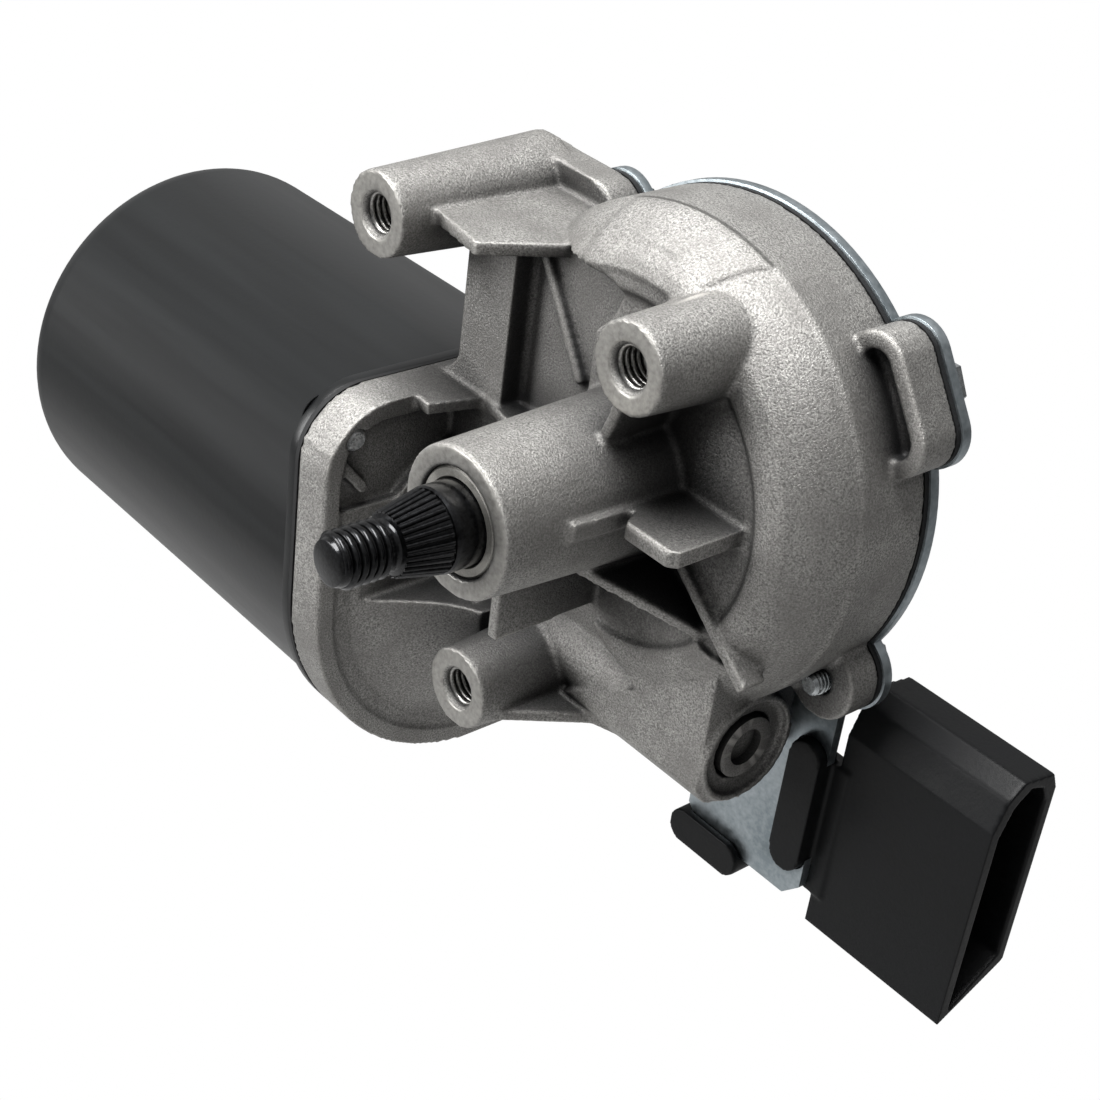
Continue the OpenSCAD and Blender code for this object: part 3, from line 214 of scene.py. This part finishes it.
def merged(node, gap=0.00001):
    """A copy of a CAD node's mesh with its loose triangles joined."""
    mesh = nodes[node].data.copy()
    shape = bmesh.new()
    shape.from_mesh(mesh)
    bmesh.ops.remove_doubles(shape, verts=shape.verts, dist=gap)
    shape.to_mesh(mesh)
    shape.free()
    return mesh


def evaluated(carrier):
    """What an object's modifiers make, as a plain mesh."""
    graph = bpy.context.evaluated_depsgraph_get()
    return bpy.data.meshes.new_from_object(carrier.evaluated_get(graph))


def baked(name, mesh, steps):
    """The mesh after modifiers, given as (kind, settings) pairs, as a plain mesh."""
    carrier = placed(name + "_source", mesh)
    for kind, settings in steps:
        modifier = carrier.modifiers.new(kind.lower(), kind)
        for key, value in settings.items():
            setattr(modifier, key, value)
    done = evaluated(carrier)
    bpy.data.objects.remove(carrier)
    done.name = name
    return done


def voxels(fine):
    return "REMESH", dict(mode="VOXEL", voxel_size=fine,
                          use_smooth_shade=True)


def share(value, nothing, full):
    """From 0 to 1 as a value goes from one place to another."""
    return min(max((value - nothing) / (full - nothing), 0.0), 1.0)


# Soft edges for moulded pieces, then fewer faces where they are flat.
rounding = [("SMOOTH", dict(factor=0.5, iterations=3)),
            ("DECIMATE", dict(ratio=0.2))]

# The sandy skin in two greys, its edges worn bright and given a painted highlight, and the milled
# faces.
boss_face_near, hub_face_y, facing_front = 0.2, -15.95, -0.85
cast, tree, bsdf, mm = surface("die_cast_aluminium", Metallic=0.8)
grain = noise(tree, mm, 3.4, 3.0, 0.7)
blotch = noise(tree, mm, 0.11, 3.0, 0.6)
at = add(tree, "ShaderNodeSeparateXYZ", {0: mm}).outputs
normal_way = add(tree, "ShaderNodeTexCoord").outputs["Normal"]
facing = add(tree, "ShaderNodeSeparateXYZ", {0: normal_way}).outputs
on_bosses = math_node(tree, "LESS_THAN", math_node(tree, "ABSOLUTE", at["Y"]), boss_face_near)
on_hub = math_node(tree, "LESS_THAN", at["Y"], hub_face_y)
faces_front = math_node(tree, "LESS_THAN", facing["Y"], facing_front)
milled = math_node(tree, "MULTIPLY", math_node(tree, "MAXIMUM", on_bosses, on_hub), faces_front)
skin = ramp(tree, grain, 0.34, 0.66, "#6b6a68", "#c8c6c2")
skin = ramp(tree, blotch, 0.35, 0.85, skin, "#858380")
# Sharp edges are lighter, partly from wear and partly as a painted highlight.
edge = add(tree, "ShaderNodeNewGeometry").outputs["Pointiness"]
skin = ramp(tree, edge, 0.52, 0.62, skin, "#cfccc7")
cut_face = ramp(tree, noise(tree, mm, 1.1, 3.0, 0.6), 0.3, 0.7, "#94928e", "#b6b4af")
skin = ramp(tree, milled, 0.0, 1.0, skin, cut_face)

# A low panel lies on top of the round case. Its back edge is a step with a dark line of painted
# shade along it, its right edge runs aslant, and a short ledge crosses it. Places are in millimetres,
# rises in metres.
panel_back_y, panel_left_x, panel_low_z, panel_high_z = 21.7, -13.0, 23.0, 25.0
panel_slant, panel_rise = 0.63, 0.00038
ledge_y, ledge_end_x, ledge_rise = 15.7, 3.5, 0.00025
step_shade_y = panel_back_y + 0.15
aslant = math_node(tree, "SUBTRACT", at["X"], math_node(tree, "MULTIPLY", at["Y"], panel_slant))
on_top = math_node(tree, "MULTIPLY", span(tree, at["Z"], panel_low_z, panel_high_z),
                   span(tree, at["X"], panel_left_x - 1.0, panel_left_x + 1.0))
left_of_edge = math_node(tree, "MULTIPLY", on_top, span(tree, aslant, -0.6, -1.2))
from_step_shade = math_node(tree, "ABSOLUTE", math_node(tree, "SUBTRACT", at["Y"], step_shade_y))
step_line = math_node(tree, "MULTIPLY", left_of_edge, span(tree, from_step_shade, 0.5, 0.15))
# Painted shade: a dark line along the panel's back step.
skin = ramp(tree, step_line, 0.0, 1.3, skin, "#4e4d4b")

# Painted shade, from the occlusion of nearby faces, darkens corners and recesses. The grain gives
# the gloss and the relief too, and both are weaker on the milled faces.
corner_shade = add(tree, "ShaderNodeAmbientOcclusion", {"Distance": 0.028}, samples=8)
open_share = math_node(tree, "POWER", corner_shade.outputs["AO"], 1.7)
skin = ramp(tree, open_share, 0.12, 0.8, "#303031", skin)
rough = span(tree, milled, 0.0, 1.0, span(tree, grain, 0.0, 1.0, 0.62, 0.42), 0.4)
dress(tree, bsdf, skin, rough, grain, span(tree, milled, 0.0, 1.0, 0.7, 0.12), 0.00022)

# The panel is raised out of the remeshed casting, where its faces look up.
least_up, fully_up = 0.05, 0.3
housing = baked("housing_blank", merged("gear_housing"), [voxels(0.0004)])
outward = [vertex.normal.copy() for vertex in housing.vertices]
for vertex, normal in zip(housing.vertices, outward):
    x, y, z = vertex.co * 1000
    if z < panel_low_z or y > panel_back_y + 1 or normal.z < least_up:
        continue
    top = share(z, panel_low_z, panel_high_z) * share(x, panel_left_x - 1, panel_left_x + 1)
    top *= share(normal.z, least_up, fully_up)
    rise = panel_rise * share(x - panel_slant * y, -0.7, -1.1)
    rise *= share(y, panel_back_y + 0.2, panel_back_y - 0.2)
    rise += ledge_rise * share(abs(y - ledge_y), 0.7, 0.3) * share(x, ledge_end_x, ledge_end_x - 0.5)
    vertex.co += normal * rise * top
housing = baked("housing_casting", housing, rounding)

# The remesh and the rounding shift the wall of the central bore a little. It is set back on its
# true radius, since the bushes and the seal sit in it.
bore_r, bore_front_y, bore_back_y, near_wall = 0.00783, -0.0152, 0.0176, 0.0008
for vertex in housing.vertices:
    from_axis = math.hypot(vertex.co.x, vertex.co.z)
    if abs(from_axis - bore_r) < near_wall and bore_front_y < vertex.co.y < bore_back_y:
        vertex.co.x *= bore_r / from_axis
        vertex.co.z *= bore_r / from_axis
fresh("housing_casting", housing, cast, "root", "cast_aluminium", "gear_housing")


# threads of the mounting holes
# M6 tapped holes in the three bosses, cut after casting, their flanks bright from the tap. The
# screws of the bracket go into them.
def group(name, **inputs):
    """An empty Geometry Nodes group with float, integer and material inputs."""
    made = bpy.data.node_groups.new(name, "GeometryNodeTree")
    made.interface.new_socket(name="Geometry", in_out="INPUT", socket_type="NodeSocketGeometry")
    made.interface.new_socket(name="Geometry", in_out="OUTPUT", socket_type="NodeSocketGeometry")
    for key, value in inputs.items():
        kind = "Material" if value is None else "Int" if isinstance(value, int) else "Float"
        socket = made.interface.new_socket(name=key.replace("_", " "), in_out="INPUT",
                                           socket_type="NodeSocket" + kind)
        if value is not None:
            socket.default_value = value
    return made, add(made, "NodeGroupInput").outputs


def diamond(tree, half_x, half_y):
    """A diamond outline of given half widths."""
    square = add(tree, "GeometryNodeCurvePrimitiveCircle", {"Resolution": 4, "Radius": 1.0})
    size = add(tree, "ShaderNodeCombineXYZ", {0: half_x, 1: half_y, 2: 1.0})
    return add(tree, "GeometryNodeTransform", {
        "Geometry": square.outputs[0], "Scale": size.outputs[0]}).outputs[0]


def closed(tree, pieces, material):
    """Ends a group: its pieces joined, instances made real, the material set."""
    joined = add(tree, "GeometryNodeJoinGeometry")
    for piece in pieces:
        tree.links.new(piece, joined.inputs[0])
    real = add(tree, "GeometryNodeRealizeInstances", {"Geometry": joined.outputs[0]})
    dressed = add(tree, "GeometryNodeSetMaterial", {
        "Geometry": real.outputs[0], "Material": material})
    add(tree, "NodeGroupOutput", {"Geometry": dressed.outputs[0]})


def grown(name, tree, mesh, turn, **values):
    """The plain mesh that a group makes from a mesh, with its inputs set by identifier."""
    carrier = placed(name + "_source", mesh)
    modifier = carrier.modifiers.new("grow", "NODES")
    modifier.node_group = tree
    for item in tree.interface.items_tree:
        key = item.name.replace(" ", "_")
        if item.in_out == "INPUT" and key in values:
            modifier[item.identifier] = values[key]
    done = evaluated(carrier)
    carrier.modifiers.remove(modifier)
    bpy.data.objects.remove(carrier)
    done.transform(turn)
    done.name = name
    return done


# One thread: a ridge of diamond section swept along a helix about z. Its widest part lies on the
# radius, so half of the section is sunk in the metal that carries it. The ridge is a little
# narrower than the pitch, so its turns stay clear of each other.
half_width_per_pitch = 0.47
thread, inside = group("thread", Radius=0.0034, Depth=0.0006, Pitch=0.00125, Turns=6.0, Start=0.0,
                       Steps=48, Material=None)
helix = add(thread, "GeometryNodeCurveSpiral", {
    "Resolution": inside["Steps"], "Rotations": inside["Turns"],
    "Start Radius": inside["Radius"], "End Radius": inside["Radius"],
    "Height": math_node(thread, "MULTIPLY", inside["Pitch"], inside["Turns"])})
upright = add(thread, "GeometryNodeSetCurveNormal", {"Curve": helix.outputs[0]}, mode="Z_UP")
section = diamond(thread, inside["Depth"],
                  math_node(thread, "MULTIPLY", inside["Pitch"], half_width_per_pitch))
ridge = add(thread, "GeometryNodeCurveToMesh", {
    "Curve": upright.outputs[0], "Profile Curve": section, "Fill Caps": True})
lifted = add(thread, "GeometryNodeTransform", {
    "Geometry": ridge.outputs[0],
    "Translation": add(thread, "ShaderNodeCombineXYZ", {2: inside["Start"]}).outputs[0]})
closed(thread, (lifted.outputs[0], inside["Geometry"]), inside["Material"])

tapped_metal, tree, bsdf, mm = surface("tapped_aluminium", Metallic=1.0)
cut_marks = noise(tree, mm, 3.0, 2.0, 0.5)
dress(tree, bsdf, ramp(tree, cut_marks, 0.3, 0.7, "#8f8e8b", "#c4c3bf"),
      span(tree, cut_marks, 0.0, 1.0, 0.22, 0.4))
to_y = Matrix.Rotation(math.radians(-90), 4, "X")
tapped_holes = (("left", -0.0429, 0.0237), ("right", 0.0111, 0.0237), ("lower", -0.0146, -0.0415))
for name, x, z in tapped_holes:
    tapped = grown("boss_thread_" + name, thread, bpy.data.meshes.new("none"),
                   Matrix.Translation((x, 0, z)) @ to_y, Radius=0.003, Depth=0.0005, Pitch=0.001,
                   Turns=15.0, Start=0.0009, Steps=40, Material=tapped_metal)
    fresh("boss_thread_" + name, tapped, tapped_metal, "root", "cast_aluminium")


# output shaft
# Turned and rolled steel in oiled black oxide: an M8 stud, a fine splined cone for the crank, a
# ground journal, and behind it the seat of the wheel with the groove of its clip.
def lathe(name, outline, steps=96):
    """A closed solid of revolution about z; the outline is (radius, z) in millimetres."""
    verts, faces, rings = [], [], []
    turns = [math.tau * i / steps for i in range(steps)]
    for r, z in outline:
        first = len(verts)
        circle = [(math.cos(turn), math.sin(turn)) for turn in turns] if r else [(0, 0)]
        verts += [(r / 1000 * x, r / 1000 * y, z / 1000) for x, y in circle]
        rings.append(list(range(first, len(verts))))
    for low, high in zip(rings, rings[1:] + rings[:1]):
        for i in range(steps):
            j = (i + 1) % steps
            if len(low) == 1 and len(high) == 1:
                break
            if len(low) == 1:
                faces.append((low[0], high[j], high[i]))
            elif len(high) == 1:
                faces.append((low[i], low[j], high[0]))
            else:
                faces.append((low[i], low[j], high[j], high[i]))
    mesh = bpy.data.meshes.new(name)
    mesh.from_pydata(verts, [], faces)
    mesh.update()
    shape = bmesh.new()
    shape.from_mesh(mesh)
    bmesh.ops.recalc_face_normals(shape, faces=shape.faces)
    shape.to_mesh(mesh)
    shape.free()
    return mesh


def soften(mesh, degrees=35):
    """Smooth shading that keeps the edges sharper than an angle."""
    for face in mesh.polygons:
        face.use_smooth = True
    mesh.set_sharp_from_angle(angle=math.radians(degrees))


oxide, tree, bsdf, mm = surface("oiled_black_oxide", Metallic=0.9, Coat_Weight=0.5,
                                Coat_Roughness=0.12)
film = noise(tree, mm, 1.6, 3.0, 0.6)
dress(tree, bsdf, ramp(tree, film, 0.35, 0.7, "#0b0b0d", "#242527"),
      span(tree, film, 0.0, 1.0, 0.2, 0.42), film, 0.25)

# Splines: bars of diamond section laid round the cone, sunk in it for half their height.
splines, inside = group("splines", Count=30, Back_Radius=0.0056, Front_Radius=0.00424,
                        Length=0.0068, Start=0.0, Size=0.00045, Material=None)
bar = add(splines, "GeometryNodeCurvePrimitiveLine")
front_end = math_node(splines, "SUBTRACT", inside["Start"], inside["Length"])
for end, radius, height in (("Start", "Back Radius", inside["Start"]),
                            ("End", "Front Radius", front_end)):
    point = add(splines, "ShaderNodeCombineXYZ", {0: inside[radius], 2: height})
    splines.links.new(point.outputs[0], bar.inputs[end])
tooth = add(splines, "GeometryNodeCurveToMesh", {
    "Curve": bar.outputs[0], "Profile Curve": diamond(splines, inside["Size"], inside["Size"]),
    "Fill Caps": True})
spots = add(splines, "GeometryNodePoints", {"Count": inside["Count"]})
order = add(splines, "GeometryNodeInputIndex")
turn_share = math_node(splines, "DIVIDE", order.outputs[0], inside["Count"])
around = add(splines, "ShaderNodeCombineXYZ", {
    2: math_node(splines, "MULTIPLY", turn_share, math.tau)})
ring = add(splines, "GeometryNodeInstanceOnPoints", {
    "Points": spots.outputs[0], "Instance": tooth.outputs[0], "Rotation": around.outputs[0]})
closed(splines, (ring.outputs[0], inside["Geometry"]), inside["Material"])

# The shaft lies along z here, its tip below, and is laid along y afterwards.
turned = lathe("shaft_blank", [
    (0, -36.3), (2.75, -36.3), (3.1, -36.15), (3.42, -35.5), (3.42, -28.3), (3.3, -28.0),
    (3.3, -27.5), (3.5, -27.2), (4.12, -27.0), (5.46, -20.6), (5.46, -20.2), (5.75, -20.2),
    (5.98, -19.9), (5.98, -0.27), (5.32, -0.27), (5.32, 2.17), (5.98, 2.17), (5.98, 19.08),
    (5.48, 19.08), (5.48, 27.7), (4.82, 27.7), (4.82, 28.7), (5.48, 28.7), (5.48, 29.8),
    (5.2, 30.1), (0, 30.1)])
soften(turned)
turned = grown("turned_shaft", splines, turned, Matrix.Identity(4), Count=30,
               Back_Radius=0.00546, Front_Radius=0.00412, Length=0.0066, Start=-0.0204,
               Size=0.0004, Material=oxide)
stud = grown("output_shaft_turned", thread, turned, to_y, Radius=0.0034, Depth=0.00058,
             Pitch=0.00125, Turns=5.4, Start=-0.0354, Steps=64, Material=oxide)
fresh("output_shaft_turned", stud, oxide, "output", "black_oxide_steel", "output_shaft")


# bushes of the output shaft
# Two sintered iron bushes soaked in oil, pressed into the central boss. The front one shows as a
# pale ring round the journal, with a small chamfer that leaves a dark line at its rim.
def simple(name, dark, light, cells, metal, rough_low, rough_high, relief, stretch=(1, 1, 1),
           **values):
    """A finish whose colour, roughness and relief follow one noise."""
    mat, tree, bsdf, mm = surface(name, Metallic=metal, **values)
    pulled = add(tree, "ShaderNodeVectorMath", {0: mm, 1: stretch}, operation="MULTIPLY").outputs[0]
    fine = noise(tree, pulled, cells, 3.0, 0.6)
    broad = noise(tree, pulled, cells / 14, 2.0, 0.5)
    mixed = math_node(tree, "MULTIPLY", math_node(tree, "ADD", fine, broad), 0.5)
    dress(tree, bsdf, ramp(tree, mixed, 0.38, 0.62, dark, light),
          span(tree, mixed, 0.3, 0.7, rough_low, rough_high), fine, relief)
    return mat


def finish_nodes(mat, slot, *names):
    """Gives CAD nodes that keep their shape a finish. The slot is not used."""
    for name in names:
        mesh = nodes[name].data
        mesh.materials.clear()
        mesh.materials.append(mat)


sintered = simple("sintered_iron", "#8b8984", "#b3b1ab", 5.0, 0.9, 0.32, 0.5, 0.3)
bush_ring = lathe("front_bush_pressed", [
    (6.3, -15.9), (7.35, -15.9), (7.7, -15.5), (7.7, -3.2), (7.4, -2.9), (6.04, -2.9),
    (6.04, -15.6)])
soften(bush_ring)
bush_ring.transform(to_y)
fresh("front_bush_pressed", bush_ring, sintered, "root", "sintered_bronze", "front_bush")
finish_nodes(sintered, "sintered_bronze", "rear_bush")

# shaft seal
# Nitrile rubber ring in the groove of the journal, between the two bushes. It keeps water out of
# the grease.
rubber = simple("nitrile_rubber", "#0c0c0d", "#17181a", 3.0, 0.0, 0.6, 0.75, 0.3)
finish_nodes(rubber, "rubber", "shaft_seal")

# worm wheel and contact disc
# Natural acetal wheel moulded on the shaft's flats, with a stamped brass disc on its face that
# tells the switch when the blades are parked. A ground washer and a spring clip hold it in place.
acetal = simple("natural_acetal", "#d8d2bf", "#e6e1d2", 0.8, 0.0, 0.35, 0.5, 0.15)
finish_nodes(acetal, "natural_plastic", "worm_wheel")
brass = simple("stamped_brass", "#a98443", "#cfa860", 1.2, 1.0, 0.25, 0.4, 0.15)
finish_nodes(brass, "brass_sheet", "contact_disc")
bright_steel = simple("ground_steel", "#8c8d8f", "#b8b9ba", 1.4, 1.0, 0.2, 0.35, 0.15, (0.2, 1, 1))
finish_nodes(bright_steel, "bright_steel", "thrust_washer")
finish_nodes(oxide, "black_oxide_steel", "shaft_clip")


# motor can
# Deep drawn steel with a square flange, in a semi-gloss black stove enamel that shows a faint
# orange peel and the streaks of the drawing.
def rounded(name, node, width, segments):
    """A CAD node's mesh with its sharp edges rounded."""
    return baked(name, merged(node), [
        ("BEVEL", dict(width=width, segments=segments, limit_method="ANGLE",
                       angle_limit=math.radians(40)))])


paint, tree, bsdf, mm = surface("black_stove_enamel", Metallic=0.0, Specular_IOR_Level=0.42)
pulled = add(tree, "ShaderNodeVectorMath", {0: mm, 1: (0.05, 1, 1)}, operation="MULTIPLY").outputs[0]
streak = noise(tree, pulled, 0.22, 3.0, 0.55)
peel = noise(tree, mm, 0.9, 2.0, 0.5)
dress(tree, bsdf, ramp(tree, streak, 0.3, 0.7, "#0c0d0e", "#141617"),
      span(tree, streak, 0.0, 1.0, 0.27, 0.4), peel, 0.12)
can = rounded("can_shell", "motor_can", 0.0005, 3)
for face in can.polygons:
    face.use_smooth = True
fresh("can_shell", can, paint, "root", "black_painted_steel", "motor_can")

# armature
# The shaft carries the rolled worm, a stack of electrical sheet with twelve slots, enamelled
# copper windings and a commutator of brass-coloured bars.
finish_nodes(bright_steel, "bright_steel", "armature_shaft", "armature_core")
copper = simple("enamelled_copper", "#8c4a26", "#b5643a", 2.2, 0.8, 0.25, 0.4, 0.5, (0.15, 1, 1))
finish_nodes(copper, "copper_wire", "windings")
finish_nodes(brass, "brass_sheet", "commutator")

# bearings of the armature
# A ball bearing behind the worm, held by a snap ring, and sintered bushes at both far ends. The
# pad takes the worm's thrust.
finish_nodes(bright_steel, "bright_steel", "bearing_inner_race", "bearing_balls",
             "bearing_outer_race", "bush_retainer")
finish_nodes(oxide, "black_oxide_steel", "bearing_clip")
bronze = simple("sintered_bronze", "#8f867a", "#b5aca0", 5.0, 0.9, 0.35, 0.55, 0.35)
finish_nodes(bronze, "sintered_bronze", "worm_end_bush", "can_bush")
finish_nodes(acetal, "natural_plastic", "thrust_pad")

# end-play plug
# Cast plug screwed into the tunnel's end against the pad, with a round socket in its face. It
# sets how far the armature can shift.
plug_cap = rounded("end_play_plug_turned", "end_play_plug", 0.0004, 3)
soften(plug_cap)
fresh("end_play_plug_turned", plug_cap, cast, "root", "cast_aluminium", "end_play_plug")

# magnets
# Two ground ferrite shells against the wall of the can, wedged apart by bowed strips of spring
# steel.
ferrite = simple("ground_ferrite", "#1e1e20", "#2c2c2e", 2.5, 0.1, 0.5, 0.7, 0.4)
finish_nodes(ferrite, "ferrite", "magnets")
finish_nodes(bright_steel, "bright_steel", "magnet_springs")

# brush gear
# A pressed card with three brass boxes. Each holds a graphite brush and its spring, and two
# chokes quiet the radio noise.
card = simple("pressed_phenolic_card", "#3f2213", "#57301c", 1.8, 0.0, 0.45, 0.6, 0.3)
finish_nodes(card, "card_plastic", "brush_plate")
finish_nodes(brass, "brass_sheet", "brush_boxes")
graphite = simple("pressed_graphite", "#141414", "#222223", 3.0, 0.2, 0.45, 0.6, 0.3)
finish_nodes(graphite, "carbon", "brushes")
finish_nodes(bright_steel, "bright_steel", "brush_springs")
finish_nodes(copper, "copper_wire", "choke_coils")

# gaskets
# Cut rubber sheets between can and housing, and between housing and cover. Their edges show as
# thin dark lines.
finish_nodes(rubber, "rubber", "flange_gasket", "cover_gasket")

# rear cover
# Steel sheet, pressed and blue passivated after zinc plating, with broken edges and a tab that
# carries the plug.
zinc = simple("blue_passivated_zinc", "#8d979c", "#b4bcc0", 0.9, 1.0, 0.3, 0.46, 0.15)
cover = rounded("rear_cover_pressed", "rear_cover", 0.0003, 2)
soften(cover)
fresh("rear_cover_pressed", cover, zinc, "root", "zinc_plated_steel", "rear_cover")

# cover screws
# Four zinc-plated M4 screws with a hexagon on a collar. They come from the back, and the tips of
# the two long ones stand out of the casting.
hexagon, inside = group("hexagon_head", Radius=0.004, Height=0.003, Chamfer=0.0004, Material=None)
flat_h = math_node(hexagon, "SUBTRACT", inside["Height"], inside["Chamfer"])
prism = add(hexagon, "GeometryNodeMeshCylinder", {
    "Vertices": 6, "Radius": inside["Radius"], "Depth": flat_h})
low = add(hexagon, "ShaderNodeCombineXYZ", {2: math_node(hexagon, "MULTIPLY", flat_h, -0.5)})
prism = add(hexagon, "GeometryNodeTransform", {
    "Geometry": prism.outputs["Mesh"], "Translation": low.outputs[0]})
slope = add(hexagon, "GeometryNodeMeshCone", {
    "Vertices": 6, "Radius Top": inside["Radius"], "Depth": inside["Chamfer"],
    "Radius Bottom": math_node(hexagon, "SUBTRACT", inside["Radius"], inside["Chamfer"])})
under = add(hexagon, "ShaderNodeCombineXYZ", {
    2: math_node(hexagon, "MULTIPLY", inside["Height"], -1.0)})
slope = add(hexagon, "GeometryNodeTransform", {
    "Geometry": slope.outputs["Mesh"], "Translation": under.outputs[0]})
closed(hexagon, (slope.outputs[0], prism.outputs[0], inside["Geometry"]), inside["Material"])


def screw(name, mat, under_head, length, turn):
    """An M4 screw along z, in millimetres: its head's outline below zero, its shank above."""
    core, pitch, tip_length, tip_bevel, plain_length = 1.73, 0.7, 0.5, 0.45, 1.2
    blank = lathe(name + "_blank", under_head + [
        (core, 0.0), (core, length - tip_length), (core - tip_bevel, length), (0, length)], 48)
    soften(blank)
    return grown(name, thread, blank, turn, Radius=core / 1000, Depth=0.00026,
                 Pitch=pitch / 1000, Turns=(length - plain_length) / pitch, Start=0.0003, Steps=36,
                 Material=mat)


def fused(name, meshes):
    """One mesh of several."""
    shape = bmesh.new()
    for mesh in meshes:
        shape.from_mesh(mesh)
    whole = bpy.data.meshes.new(name)
    shape.to_mesh(whole)
    shape.free()
    return whole


# Each place is x, z and the y of the screw's tip, in millimetres. The collar lies on the cover.
screw_zinc = simple("bright_zinc", "#93989a", "#c6cacc", 1.6, 1.0, 0.18, 0.32, 0.15)
cover_back_y = 36.2
collar = [(0, -1.04), (4.0, -1.04), (4.2, -0.9), (4.2, 0.0)]
cover_screw_places = ((30.72, 21.51, 30.9), (-29.14, 23.6, 25.9), (29.55, -23.09, 25.9),
                      (-21.51, -30.72, 29.9))
point_to_front = Matrix.Rotation(math.radians(90), 4, "X")
made = []
for x, z, tip_y in cover_screw_places:
    place = Matrix.Translation((x / 1000, cover_back_y / 1000, z / 1000)) @ point_to_front
    shank = screw("cover_screw", screw_zinc, collar, cover_back_y - tip_y, Matrix.Identity(4))
    made.append(grown("cover_screw", hexagon, shank, place, Radius=0.00404, Height=0.003,
                      Chamfer=0.0004, Material=screw_zinc))
fresh("cover_screws_threaded", fused("cover_screws_threaded", made), screw_zinc, "root",
      "zinc_plated_steel", "cover_screws")

# flange screws
# Two blackened M4 screws with low round heads, put in from the can's side. Their bare tips show in
# the pocket of the casting's flange.
tip_steel, tree, bsdf, mm = surface("blackened_screw_with_bare_tip", Metallic=0.55)
along = add(tree, "ShaderNodeSeparateXYZ", {0: mm}).outputs["X"]
wear = noise(tree, mm, 1.8, 2.0, 0.6)
bare = ramp(tree, wear, 0.3, 0.7, "#a6a8a9", "#dfe0e0")
dress(tree, bsdf, ramp(tree, along, -38.2, -37.2, "#1b1c1e", bare),
      span(tree, wear, 0.0, 1.0, 0.2, 0.36))
round_head = [(0, -1.4), (2.0, -1.4), (2.7, -1.15), (3.3, -0.5), (3.6, 0.0)]
can_flange_x, flange_screw_length = -0.044, 9.2
point_to_right = Matrix.Rotation(math.radians(90), 4, "Y")
made = []
for y, z in ((52.05, -65.95), (-6.45, -7.45)):
    place = Matrix.Translation((can_flange_x, y / 1000, z / 1000)) @ point_to_right
    made.append(screw("flange_screw", tip_steel, round_head, flange_screw_length, place))
fresh("flange_screws_threaded", fused("flange_screws_threaded", made), tip_steel, "root",
      "black_oxide_steel", "flange_screws")

# contact fingers
# Three stamped brass fingers that ride on the disc. The arm of the plug's moulding holds them.
finish_nodes(brass, "brass_sheet", "contact_fingers")

# plug shell
# Injection moulded black plastic filled with glass fibre: a boxy socket, the carrier that clips
# round the cover's tab, and the arm of the contacts. Its edges are slightly rounded.
plastic = simple("glass_filled_black_plastic", "#070809", "#0d0e10", 1.6, 0.0, 0.4, 0.56, 0.25,
                 Specular_IOR_Level=0.22)
shell = baked("plug_shell", merged("plug_housing"), [voxels(0.0003)] + rounding)
fresh("plug_shell", shell, plastic, "root", "black_plastic", "plug_housing")

# plug blades
# Five flat blades of stamped brass in the plug's mouth. The sockets of the loom's plug slide over
# them.
finish_nodes(brass, "brass_sheet", "plug_blades")
